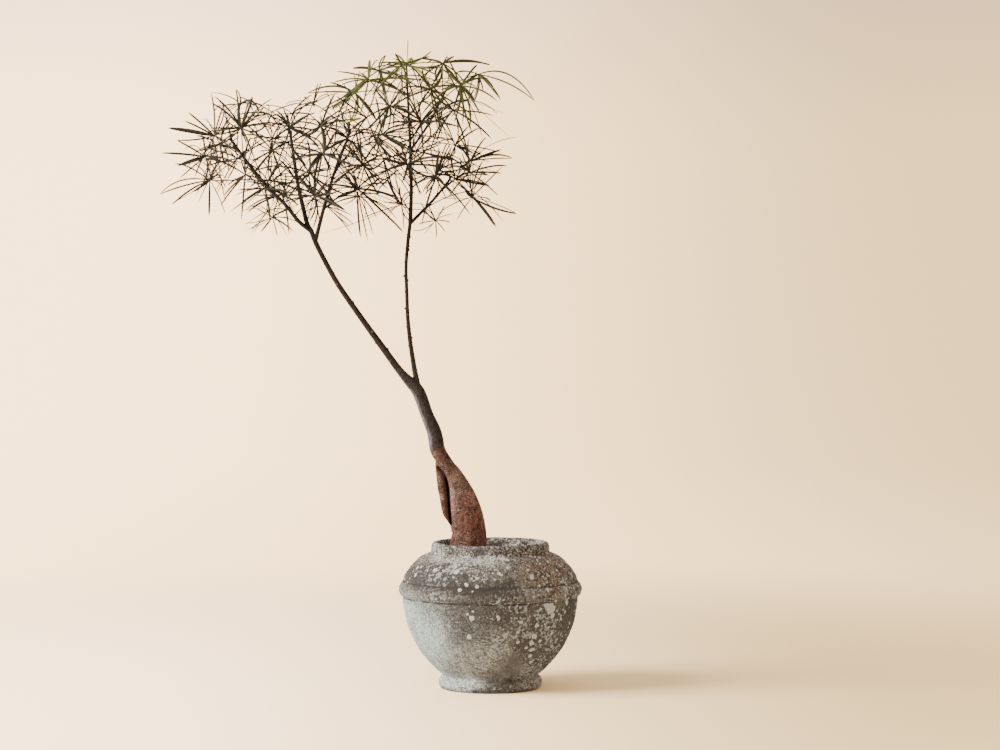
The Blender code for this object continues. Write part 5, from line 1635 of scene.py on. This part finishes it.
# %% Leaflets drawn one by one
# Hub (x, z), then leaflets (middle x, z, tip x, z, width), in millimetres as seen from the front. A width of
# ten is an ordinary leaflet.
TRACED = {
    (-452, 907): [(-491, 916, -531, 923, 14), (-474, 929, -497, 948, 11), (-477, 923, -503, 935, 8),
        (-485, 904, -516, 903, 10), (-421, 927, -389, 936, 8), (-441, 938, -439, 960, 9)],
    (-466, 877): [(-505, 880, -543, 882, 11), (-490, 868, -515, 861, 12), (-487, 894, -506, 885, 6)],
    (-469, 874): [(-494, 856, -511, 841, 8), (-480, 870, -488, 874, 8)],
    (-462, 835): [(-476, 827, -490, 818, 16), (-503, 811, -529, 798, 6), (-462, 808, -463, 779, 7),
        (-509, 837, -545, 814, 8), (-470, 841, -471, 849, 11), (-464, 856, -476, 868, 9),
        (-449, 856, -433, 871, 9), (-430, 837, -401, 839, 7), (-453, 861, -450, 883, 8),
        (-443, 840, -456, 818, 7)],
    (-445, 898): [(-459, 878, -462, 845, 10), (-434, 881, -432, 848, 13), (-465, 890, -480, 885, 11),
        (-480, 887, -489, 872, 9), (-427, 881, -407, 868, 8), (-430, 909, -412, 916, 12),
        (-458, 925, -475, 939, 7), (-421, 870, -443, 831, 8)],
    (-455, 914): [(-447, 938, -440, 960, 10)],
    (-440, 960): [(-449, 958, -456, 947, 8), (-426, 962, -412, 962, 11)],
    (-412, 962): [(-394, 968, -380, 948, 14), (-412, 975, -418, 987, 13), (-430, 975, -459, 982, 7),
        (-399, 964, -381, 957, 9)],
    (-412, 926): [(-399, 951, -391, 975, 13), (-434, 948, -459, 964, 13), (-391, 938, -371, 959, 9),
        (-379, 920, -358, 953, 12), (-385, 953, -358, 972, 7), (-379, 930, -348, 923, 9),
        (-434, 923, -462, 923, 9), (-406, 909, -401, 898, 8), (-430, 905, -449, 894, 12),
        (-423, 944, -449, 969, 7), (-399, 936, -381, 953, 12), (-430, 916, -454, 912, 11),
        (-416, 944, -413, 962, 9), (-372, 927, -358, 912, 8), (-427, 929, -438, 944, 9),
        (-385, 922, -394, 881, 7)],
    (-358, 886): [(-379, 895, -390, 907, 9), (-377, 877, -395, 867, 13), (-379, 861, -403, 833, 12),
        (-361, 854, -363, 810, 12), (-349, 859, -342, 822, 11), (-343, 896, -330, 901, 13),
        (-356, 914, -336, 927, 9), (-370, 886, -381, 885, 9), (-341, 881, -323, 870, 8),
        (-368, 905, -385, 914, 8), (-372, 870, -390, 852, 8)],
    (-276, 881): [(-253, 872, -223, 860, 14), (-269, 867, -262, 854, 14), (-287, 856, -291, 813, 13),
        (-291, 870, -304, 845, 12), (-257, 896, -236, 905, 12), (-274, 916, -300, 947, 12),
        (-299, 889, -326, 897, 11), (-278, 896, -293, 909, 9), (-257, 876, -239, 856, 9),
        (-297, 856, -315, 845, 10), (-266, 896, -259, 916, 8), (-301, 878, -323, 885, 9)],
    (-331, 923): [(-316, 934, -297, 946, 12), (-333, 933, -335, 946, 13), (-338, 948, -341, 952, 9),
        (-308, 958, -285, 967, 7), (-319, 953, -285, 960, 6), (-348, 943, -359, 941, 9),
        (-308, 916, -288, 904, 11), (-341, 918, -354, 905, 10), (-323, 944, -335, 946, 7),
        (-308, 923, -278, 916, 10), (-343, 931, -368, 925, 8)],
    (-335, 904): [(-348, 894, -365, 878, 9), (-315, 907, -279, 923, 10), (-304, 898, -274, 892, 11),
        (-319, 892, -308, 878, 9), (-350, 900, -370, 893, 9), (-336, 883, -341, 863, 8)],
    (-289, 811): [(-341, 813, -391, 812, 10), (-285, 786, -293, 758, 10), (-264, 800, -238, 787, 11),
        (-289, 830, -293, 847, 12), (-306, 830, -317, 845, 13), (-266, 814, -244, 823, 10),
        (-306, 821, -323, 828, 11), (-275, 830, -259, 845, 9), (-279, 814, -255, 817, 10),
        (-299, 799, -304, 790, 8)],
    (-343, 810): [(-368, 805, -394, 792, 10), (-381, 823, -421, 812, 9), (-340, 825, -359, 839, 11),
        (-357, 825, -372, 834, 9), (-330, 821, -315, 828, 9), (-348, 828, -354, 847, 9),
        (-332, 803, -323, 781, 7)],
    (-359, 776): [(-367, 786, -368, 799, 10), (-381, 763, -401, 756, 7), (-369, 763, -378, 752, 9),
        (-341, 766, -325, 753, 13), (-383, 769, -406, 766, 6), (-343, 785, -326, 790, 8),
        (-350, 789, -346, 802, 8), (-332, 777, -304, 779, 5)],
    (-361, 836): [(-377, 828, -399, 821, 8), (-348, 845, -330, 839, 9), (-365, 856, -377, 870, 8),
        (-341, 834, -319, 831, 9), (-354, 856, -341, 870, 8)],
    (-297, 839): [(-310, 856, -315, 874, 10), (-279, 828, -257, 812, 10), (-319, 843, -343, 845, 9),
        (-281, 852, -259, 856, 10), (-293, 861, -279, 878, 10)],
    (-237, 906): [(-248, 918, -266, 925, 9), (-231, 892, -223, 876, 10), (-244, 881, -253, 856, 11),
        (-255, 900, -275, 892, 9), (-231, 916, -223, 931, 10), (-235, 927, -251, 944, 9)],
    (-278, 925): [(-259, 933, -223, 938, 11), (-288, 936, -315, 938, 9), (-266, 942, -257, 936, 8),
        (-293, 914, -312, 909, 9)],
    (-200, 1003): [(-216, 992, -242, 970, 11), (-228, 1000, -245, 994, 9), (-199, 1019, -198, 1035, 14),
        (-204, 985, -209, 965, 12), (-167, 997, -136, 969, 10), (-155, 1005, -109, 1001, 13),
        (-225, 987, -254, 965, 12), (-220, 1011, -254, 1016, 9)],
    (-183, 1016): [(-206, 1022, -227, 1021, 15), (-176, 997, -170, 965, 14), (-165, 1023, -143, 1024, 12),
        (-181, 1033, -171, 1043, 9), (-167, 1012, -151, 1016, 10), (-191, 994, -208, 973, 12),
        (-160, 1031, -133, 1027, 10)],
    (-137, 1024): [(-148, 1039, -158, 1044, 15), (-148, 1033, -160, 1037, 12),
        (-160, 1031, -183, 1029, 13), (-116, 1016, -100, 993, 14), (-116, 1023, -95, 1025, 12),
        (-114, 1037, -97, 1050, 13), (-131, 1037, -128, 1032, 17), (-136, 1057, -136, 1067, 6),
        (-150, 1019, -170, 1004, 9)],
    (-97, 982): [(-108, 1002, -112, 1021, 13), (-114, 965, -119, 945, 12), (-104, 973, -131, 959, 9),
        (-85, 997, -80, 1019, 12), (-102, 994, -114, 1004, 14), (-85, 973, -70, 956, 10)],
    (-79, 1027): [(-95, 1023, -114, 1023, 14), (-69, 1036, -59, 1041, 14), (-39, 1034, 0, 1026, 14),
        (-85, 1011, -97, 993, 12), (-70, 1016, -69, 1001, 13), (-61, 1009, -46, 994, 14),
        (-95, 1035, -114, 1037, 13), (-90, 1016, -85, 994, 12), (-104, 1014, -119, 999, 9)],
    (-21, 1011): [(-34, 1003, -49, 992, 15), (31, 1011, 74, 966, 16), (2, 992, 17, 969, 14),
        (-19, 992, -27, 965, 14), (-39, 1016, -61, 1013, 8), (-14, 994, -12, 985, 9)],
    (-49, 993): [(-50, 965, -65, 941, 14), (-36, 982, -26, 968, 15), (-46, 965, -29, 912, 13),
        (-66, 990, -82, 986, 13), (-34, 956, -35, 922, 14), (-80, 980, -114, 944, 12),
        (-27, 965, -18, 945, 10), (-61, 1009, -75, 1021, 9), (-39, 997, -22, 990, 10)],
    (-33, 967): [(-61, 965, -99, 941, 11), (-5, 941, 31, 908, 5), (-5, 958, 23, 947, 5)],
    (-62, 951): [(-27, 932, 2, 905, 13), (-75, 941, -97, 932, 11), (-80, 929, -95, 910, 9),
        (-82, 956, -104, 946, 10)],
    (-166, 958): [(-182, 941, -201, 924, 13), (-155, 973, -152, 988, 10), (-176, 970, -193, 991, 13),
        (-141, 951, -114, 934, 13), (-187, 963, -213, 955, 7), (-173, 937, -183, 916, 9),
        (-165, 937, -171, 916, 9), (-148, 959, -133, 956, 10), (-158, 941, -143, 932, 9),
        (-179, 953, -201, 944, 8)],
    (-219, 980): [(-201, 958, -187, 934, 13), (-230, 975, -245, 956, 10), (-218, 961, -225, 937, 12)],
    (-114, 934): [(-136, 933, -161, 934, 13), (-92, 934, -69, 944, 13), (-126, 951, -136, 969, 12),
        (-99, 922, -104, 896, 9), (-138, 941, -160, 956, 9), (-99, 946, -85, 965, 10),
        (-131, 922, -143, 915, 9)],
    (-124, 911): [(-150, 917, -176, 911, 12), (-87, 941, -59, 894, 14), (-150, 900, -176, 912, 12),
        (-104, 910, -85, 903, 8), (-109, 932, -95, 946, 11), (-143, 896, -167, 893, 9)],
    (-58, 894): [(-29, 893, 17, 883, 12), (-41, 883, -34, 868, 14), (-73, 904, -112, 886, 11),
        (-27, 876, 1, 867, 9), (-70, 912, -85, 915, 9), (-58, 886, -59, 880, 8)],
    (-34, 868): [(-12, 876, 19, 888, 15), (-35, 859, -33, 847, 10), (-27, 875, -13, 884, 13),
        (2, 896, 45, 908, 6), (5, 879, 37, 873, 12), (-15, 859, 19, 848, 6), (-22, 859, -7, 847, 6)],
    (-59, 841): [(-34, 850, -3, 846, 14), (-29, 833, -1, 828, 12), (-75, 846, -95, 844, 11),
        (-70, 857, -82, 863, 9), (-39, 854, -24, 865, 10), (-49, 859, -51, 876, 8),
        (-61, 826, -51, 809, 6)],
    (-30, 807): [(-10, 789, 10, 760, 14), (5, 792, 44, 782, 13), (-39, 816, -43, 829, 10),
        (-33, 828, -38, 852, 12), (-61, 807, -90, 811, 6), (-29, 799, -30, 790, 7), (-22, 830, -7, 840, 6)],
    (-133, 863): [(-158, 868, -175, 874, 15), (-139, 850, -145, 834, 14), (-102, 862, -66, 857, 14),
        (-107, 869, -78, 868, 12), (-160, 859, -179, 847, 11), (-109, 845, -87, 846, 13),
        (-147, 876, -160, 893, 11), (-126, 838, -113, 813, 10), (-112, 883, -82, 896, 12),
        (-162, 876, -191, 888, 10), (-143, 883, -155, 905, 10), (-116, 874, -104, 893, 11)],
    (-130, 886): [(-153, 896, -174, 910, 13), (-104, 893, -73, 899, 10), (-148, 879, -174, 874, 12),
        (-95, 886, -66, 879, 9), (-114, 900, -104, 917, 11), (-143, 900, -150, 917, 9)],
    (-90, 847): [(-84, 864, -78, 876, 15), (-70, 852, -55, 844, 12), (-102, 833, -113, 815, 11),
        (-109, 840, -130, 824, 12), (-82, 869, -85, 888, 9), (-104, 857, -119, 869, 12),
        (-85, 830, -90, 811, 7)],
    (-216, 823): [(-179, 787, -143, 752, 15), (-218, 782, -214, 743, 15), (-233, 815, -254, 811, 14),
        (-187, 819, -148, 807, 14), (-228, 833, -247, 845, 13), (-210, 847, -208, 869, 13),
        (-201, 839, -182, 845, 12), (-225, 806, -245, 797, 9), (-196, 806, -170, 789, 9),
        (-204, 816, -179, 816, 9)],
    (-148, 799): [(-131, 790, -105, 790, 10), (-167, 806, -194, 816, 9), (-179, 787, -211, 775, 8),
        (-162, 823, -174, 852, 10), (-143, 811, -132, 819, 9), (-160, 789, -174, 763, 6),
        (-143, 782, -133, 770, 8)],
    (-90, 765): [(-102, 780, -115, 801, 8), (-78, 778, -61, 782, 5)],
    (-236, 922): [(-225, 946, -220, 973, 11), (-223, 937, -212, 939, 13), (-247, 934, -264, 946, 10),
        (-230, 941, -235, 956, 10), (-240, 941, -250, 961, 9)],
    (-237, 908): [(-213, 915, -185, 913, 14), (-216, 886, -196, 857, 12), (-223, 898, -201, 903, 11),
        (-250, 893, -262, 874, 11), (-225, 888, -220, 869, 10)],
    (-208, 867): [(-225, 883, -242, 899, 13), (-191, 857, -172, 876, 11), (-199, 883, -187, 898, 11),
        (-225, 862, -245, 857, 11), (-194, 852, -177, 835, 9), (-213, 888, -216, 924, 10),
        (-191, 874, -167, 883, 9)],
    (-179, 891): [(-196, 896, -220, 891, 10), (-167, 876, -158, 857, 10), (-191, 879, -208, 876, 10),
        (-184, 908, -199, 917, 9)],
    (-276, 879): [(-241, 868, -209, 853, 12), (-288, 870, -300, 855, 9)],
    (-236, 905): [(-247, 912, -258, 917, 12), (-255, 895, -272, 885, 11)],
    (-200, 898): [(-208, 908, -214, 921, 10), (-189, 906, -178, 913, 9), (-183, 898, -167, 890, 10),
        (-213, 896, -224, 893, 9), (-190, 888, -177, 876, 10), (-198, 906, -195, 913, 9)],
    (-207, 867): [(-199, 861, -192, 853, 12), (-200, 853, -185, 824, 11), (-232, 853, -255, 831, 10)],
    (-217, 825): [(-231, 831, -246, 840, 10), (-240, 828, -272, 831, 12), (-221, 837, -225, 848,
        10), (-183, 805, -149, 797, 5), (-236, 816, -258, 803, 12)],
    (-294, 839): [(-266, 826, -238, 814, 12)],
    (-177, 875): [(-174, 861, -171, 845, 11), (-190, 879, -204, 881, 10), (-163, 870, -149, 867, 9),
        (-168, 847, -157, 809, 10)],
    (-170, 837): [(-159, 814, -150, 794, 11), (-176, 831, -184, 824, 10), (-179, 839, -189, 839, 8),
        (-162, 846, -149, 856, 9)],
    (-230, 886): [(-238, 886, -247, 885, 7), (-236, 879, -241, 870, 7), (-227, 877, -225, 867, 7),
        (-221, 881, -214, 876, 8), (-220, 886, -211, 886, 7), (-226, 892, -221, 899, 7), (-234, 890,
        -238, 895, 7), (-217, 883, -204, 880, 7)],
    (-218, 980): [(-260, 992, -302, 980, 12)],
    (-199, 1003): [(-224, 980, -260, 953, 13), (-237, 973, -281, 948, 12)],
    (-277, 925): [(-260, 944, -235, 960, 12)],
    (-147, 799): [(-220, 768, -282, 749, 5)],
    (-89, 765): [(-109, 757, -129, 755, 5)],
}
SAME_LEAF, LONGEST_STALK, STALK_DEPTH, TIP_DEPTH = 0.014, 0.075, 0.03, 0.45
NEAREST_Y, FARTHEST_Y = -0.170, 0.165


def seen_at(place):
    """Where a place looks to be from the eye, as x and z."""
    share = (place[1] - EYE[1]) / -EYE[1]
    return EYE[0] + (place[0] - EYE[0]) / share, EYE[2] + (place[2] - EYE[2]) / share


def leaf_at(draw, x, z):
    """The leaf whose hub is seen at a place, or a new one on the nearest stem."""
    def apart(place):
        return math.dist((x, z), seen_at(place))

    one = min((one for leaves in plan.values() for one in leaves), key=lambda one: apart(one["stalk"][2]))
    if apart(one["stalk"][2]) > SAME_LEAF:
        name = min(paths, key=lambda name: min(apart(place) for place in paths[name]))
        foot = stalk_foot(paths[name], x, z, LONGEST_STALK)
        hub = at_depth(x, foot[1] + draw.uniform(-STALK_DEPTH, STALK_DEPTH), z)
        bend = (foot + hub) / 2 + np.array((0.0, 0.0, STALK_ARCH * np.linalg.norm(hub - foot)))
        one = {
            "stalk": (foot, bend, hub), "axis": unit(hub - bend), "leaflets": [], "young": False,
            "thin": 0, "size": 1.0,
        }
        plan[name].append(one)
    return one


draw = random.Random(MORE_SEED + 2)
for (hub_x, hub_z), rows in TRACED.items():
    one = leaf_at(draw, hub_x / 1000, hub_z / 1000)
    hub = one["stalk"][2]
    for row in rows:
        middle_x, middle_z, tip_x, tip_z = (value / 1000 for value in row[:4])
        deep = draw.uniform(-TIP_DEPTH, TIP_DEPTH) * math.dist((hub_x / 1000, hub_z / 1000), (tip_x, tip_z))
        deep = min(max(hub[1] + deep, NEAREST_Y), FARTHEST_Y) - hub[1]
        tip = at_depth(tip_x, hub[1] + deep, tip_z)
        middle = at_depth(middle_x, hub[1] + deep / 2, middle_z)
        one.setdefault("traced", []).append(((hub, 2 * middle - (hub + tip) / 2, tip), row[4] / 10))
for leaves in plan.values():
    for one in leaves:
        if "traced" in one:
            del one["leaflets"][len(one["leaflets"]) - one["thin"]:]
            one["thin"] = 0
print("traced:", sum(len(rows) for rows in TRACED.values()), "leaflets")

# %% [markdown]
# ### From lines to leaves
#
# Every stem, stalk and leaflet is first only a line whose points carry a girth, a tint and the way the leaf
# faces. One Geometry Nodes tree then sweeps a round section along the stems and stalks and a grooved,
# keeled one along the leaflets. Sweeping is the natural way here, because a leaflet is a long narrow shape
# with the same section all along, only wider or narrower.

# %% Lines of the foliage
STEM, STALK, BLADE = 0.0, 1.0, 2.0
BLADE_STEPS, STALK_STEPS = 11, 8
TRACED_WIDTH = 0.0031
TO_LIGHT = np.array((0.0, -0.9, 0.0))
STEM_SHARE = 1.42
LOW_LEAF, LOW_SHARE = (0.785, 0.815), (0.62, 1.0)
# Places (x, z) seen from the front where the wall shows through the leaves, and how wide they are
OPENINGS = [
    (-0.1986, 0.944), (-0.2646, 0.944), (-0.3306, 0.944), (-0.0996, 0.944), (-0.0336, 0.8125),
    (-0.1326, 0.977),
]
OPENING = 0.0095
BLADE_SHAPE = ((0.0, 0.08, 0.30, 0.72, 0.93, 1.0), (0.50, 0.72, 1.0, 0.94, 0.66, 0.15))
STALK_SHAPE = ((0.0, 0.06, 0.14, 0.9, 1.0), (2.0, 1.6, 1.0, 1.0, 1.5))


def in_opening(line):
    """Whether the outer part of a leaflet crosses a place where the wall shows."""
    seen = [seen_at(place) for place in line[len(line) // 5:]]
    return any(math.dist(place, opening) < OPENING for place in seen for opening in OPENINGS)


class Sprigs:
    """Lines, and what each of their points carries."""

    def __init__(self):
        self.points, self.edges, self.facing = [], [], []
        self.values = {name: [] for name in ("kind", "girth", "tint", "green", "along")}

    def add(self, line, girths, facing, kind, tint, green):
        """Adds a line whose points face one way, square to the line."""
        first, count = len(self.points), len(line)
        ways = np.gradient(line, axis=0)
        ways /= np.linalg.norm(ways, axis=1)[:, None]
        facing = facing - ways * (ways @ facing)[:, None]
        self.points += [tuple(p) for p in line]
        self.edges += [(first + i, first + i + 1) for i in range(count - 1)]
        self.facing += [tuple(unit(f)) for f in facing]
        self.values["girth"] += list(girths)
        self.values["along"] += list(np.linspace(0, 1, count))
        for name, value in (("kind", kind), ("tint", tint), ("green", green)):
            self.values[name] += [value] * count

    def mesh(self, name):
        """A mesh of all the lines."""
        made = bpy.data.meshes.new(name)
        made.from_pydata(self.points, self.edges, [])
        for title, values in self.values.items():
            made.attributes.new(title, "FLOAT", "POINT").data.foreach_set("value", values)
        facing = made.attributes.new("facing", "FLOAT_VECTOR", "POINT")
        facing.data.foreach_set("vector", np.ravel(self.facing))
        return made


def leaflet_line(draw, guide, held):
    """A leaflet's line with a slight bow, and a hooked tip where its tip's place isn't held."""
    line = arc(*guide, BLADE_STEPS)
    t = np.linspace(0, 1, len(line))[:, None]
    run = guide[2] - guide[0]
    length = np.linalg.norm(run)
    aside = unit(np.cross(run, (0.05, 0.02, 1.0)))
    line = line + aside * length * draw.gauss(0, 0.030) * np.sin(math.pi * t)
    if not held:
        down = unit(np.array((0.0, 0.0, -1.0)) + aside * draw.gauss(0, 0.8))
        line = line + down * length * draw.uniform(0.0, 0.20) * t**3
    return line


# %% All lines of a stem
GREEN_STEMS = ("stem_crown", "stem_upper_right")
GREEN_FROM, GREEN_TO = 0.935, 0.985
YOUNG_GREEN = 2.0


def greenness(draw, name, height):
    """How green a leaf is: those at the crown's top are fully green, the lower ones nearly black."""
    if name in GREEN_STEMS:
        share = min(max((height - GREEN_FROM) / (GREEN_TO - GREEN_FROM), 0.0), 1.0)
        return 0.15 + 0.85 * share * draw.uniform(0.75, 1.0)
    return draw.uniform(0.0, 0.35)


def sprigs_of(draw, name, leaves):
    """All lines of one leafy stem."""
    sprigs = Sprigs()
    stem = STEMS[name]
    path = eased(stem["path"], 8)
    first, last = STEM_SHARE * np.array(stem["radii"])
    sideways = np.array((0.3, 0.9, 0.1))
    sprigs.add(path, np.linspace(first, last, len(path)), sideways, STEM, 0.5, 0.0)
    for one in leaves:
        foot, bend, hub = one["stalk"]
        tint = draw.random()
        green = YOUNG_GREEN if one["young"] else greenness(draw, name, hub[2])
        if not one["young"]:
            line = arc(foot, bend, hub, STALK_STEPS)
            girths = STALK_RADIUS * np.interp(np.linspace(0, 1, len(line)), *STALK_SHAPE)
            sprigs.add(line, girths, sideways, STALK, tint, green)
        for i, (guide, steps) in enumerate(one["leaflets"]):
            line = leaflet_line(draw, guide, steps == GIVEN_STEPS)
            thin = i >= len(one["leaflets"]) - one["thin"]
            width = LEAFLET_WIDTH / 2 * draw.uniform(0.90, 1.15) * (0.80 if thin else 1.0)
            width *= np.interp(seen_at(hub)[1], LOW_LEAF, LOW_SHARE)
            girths = width * np.interp(np.linspace(0, 1, len(line)), *BLADE_SHAPE)
            facing = one["axis"] + TO_LIGHT + 0.5 * np.array([draw.gauss(0, 1) for _ in range(3)])
            shade = min(max(tint + draw.gauss(0, 0.15), 0.0), 1.0)
            if thin and in_opening(line):
                continue
            sprigs.add(line, girths, facing, BLADE, shade, green)
        for guide, width in one.get("traced", []):
            girths = TRACED_WIDTH / 2 * width * np.interp(np.linspace(0, 1, BLADE_STEPS + 1), *BLADE_SHAPE)
            facing = one["axis"] + TO_LIGHT + 0.5 * np.array([draw.gauss(0, 1) for _ in range(3)])
            sprigs.add(arc(*guide, BLADE_STEPS), girths, facing, BLADE, tint, green)
    return sprigs


# %% Sweeping the foliage
leafage, given, result = new_group(
    "leafage", "Geometry", Lines=GEOMETRY, Stem_sides=12, Blade_sides=8, Blade_thickness=0.52, Keel=0.12,
    Leaf_material=MATERIAL, Stem_material=MATERIAL,
)
kind = carried(leafage, "kind")
girth = carried(leafage, "girth")
facing = carried(leafage, "facing", "FLOAT_VECTOR")
values = {"Geometry": given["Lines"], "Selection": maths("GREATER_THAN", kind, (STALK + BLADE) / 2)}
split = add(leafage, "GeometryNodeSeparateGeometry", values)
section = step("CurvePrimitiveCircle", Resolution=given["Blade sides"], Radius=1.0)
spot = axes(here(leafage))
inner = minus(1.0, maths("ABSOLUTE", spot["Y"]))
keel = times(times(inner, inner), given["Keel"])
thin = minus(times(spot["X"], given["Blade thickness"]), keel)
shape = add(leafage, "ShaderNodeCombineXYZ", {0: thin, 1: spot["Y"]}).outputs[0]
section = step("SetPosition", Geometry=section, Position=shape)
section = step("StoreNamedAttribute", Geometry=section, Name="rib", Value=inner)
blades = step("MeshToCurve", Mesh=split.outputs[0])
blades = step("SetCurveNormal", Curve=blades, Normal=facing, mode="FREE")
blades = step("CurveToMesh", Curve=blades, Profile_Curve=section, Scale=girth, Fill_Caps=True)
blades = step("SetMaterial", Geometry=blades, Material=given["Leaf material"])
stems = step("MeshToCurve", Mesh=split.outputs[1])
round_section = step("CurvePrimitiveCircle", Resolution=given["Stem sides"], Radius=1.0)
stems = step("CurveToMesh", Curve=stems, Profile_Curve=round_section, Scale=girth, Fill_Caps=True)
stems = step("SetMaterial", Geometry=stems, Material=given["Stem material"])
closed = step("MergeByDistance", Geometry=united(blades, stems), Distance=4e-06)
smooth = step("SetShadeSmooth", Geometry=closed)
whole = step("RealizeInstances", Geometry=smooth)
leafage.links.new(whole, result["Geometry"])
print("leafage:", len(leafage.nodes), "nodes")

# %% [markdown]
# ### Leaf and twig finishes
#
# The old leaflets are a dark brown-green, made darker still by painted shade for a crown seen against the
# light, so they look black against a pale wall, with a dull satin shine. The top of the crown is still olive
# green, and the folded new leaves at the stems' tips are yellow green. One material does all three, led by
# the tint and greenness that each leaflet carries.

# %% Leaf material
leaf_finish, tree, surface, place = new_material("leaflet", 0.60)
tint, green = attribute(tree, "tint"), attribute(tree, "green")
rib, along = attribute(tree, "rib"), attribute(tree, "along")
# The old leaflets' colours are partly their own dark brown-green and partly painted shade for a crown seen
# against the light
old = blended(tint, (0.014, 0.01, 0.009), (0.032, 0.025, 0.019))
olive = blended(tint, (0.044, 0.05, 0.013), (0.092, 0.098, 0.025))
base = blended(faded(green, 0.0, 1.0), old, olive)
base = blended(faded(green, 1.1, 2.0), base, (0.3, 0.31, 0.065))
base = painted(base, faded(rib, 0.8, 1.0), 0.2, (0.13, 0.13, 0.06))
mottle = noise(place, 350.0, 3.0)
base = painted(base, faded(mottle, 0.5, 0.7), 0.4, (0.04, 0.028, 0.018))
dry = times(faded(along, 0.86, 1.0), 0.5)
base = blended(dry, base, (0.085, 0.05, 0.028))
fill(surface, {"Base Color": base})
grained(surface, place, 1200.0, 3000.0, 0.4, 0.0002)
fill(surface, {"Specular IOR Level": 0.15})

twig, tree, surface, place = new_material("twig", 0.7)
base = blended(noise(place, 500.0, 4.0, 0.6), (0.009, 0.006, 0.005), (0.03, 0.02, 0.016))
base = blended(faded(attribute(tree, "green"), 0.2, 1.2, 0.0, 0.75), base, (0.065, 0.068, 0.027))
fill(surface, {"Base Color": base})
grained(surface, place, 700.0, 2200.0, 0.5, 0.0003)
fill(surface, {"Specular IOR Level": 0.15})

# %% Growing the foliage
draw = random.Random(MORE_SEED + 1)
for name, leaves in plan.items():
    lines = sprigs_of(draw, name, leaves).mesh(name + "_lines")
    piece = grown("leafy_" + name, lines, leafage, Leaf_material=leaf_finish, Stem_material=twig)
    finish_piece(piece, "foliage_green" if name in GREEN_STEMS else "foliage", name)

# %% Sizes
low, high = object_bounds()
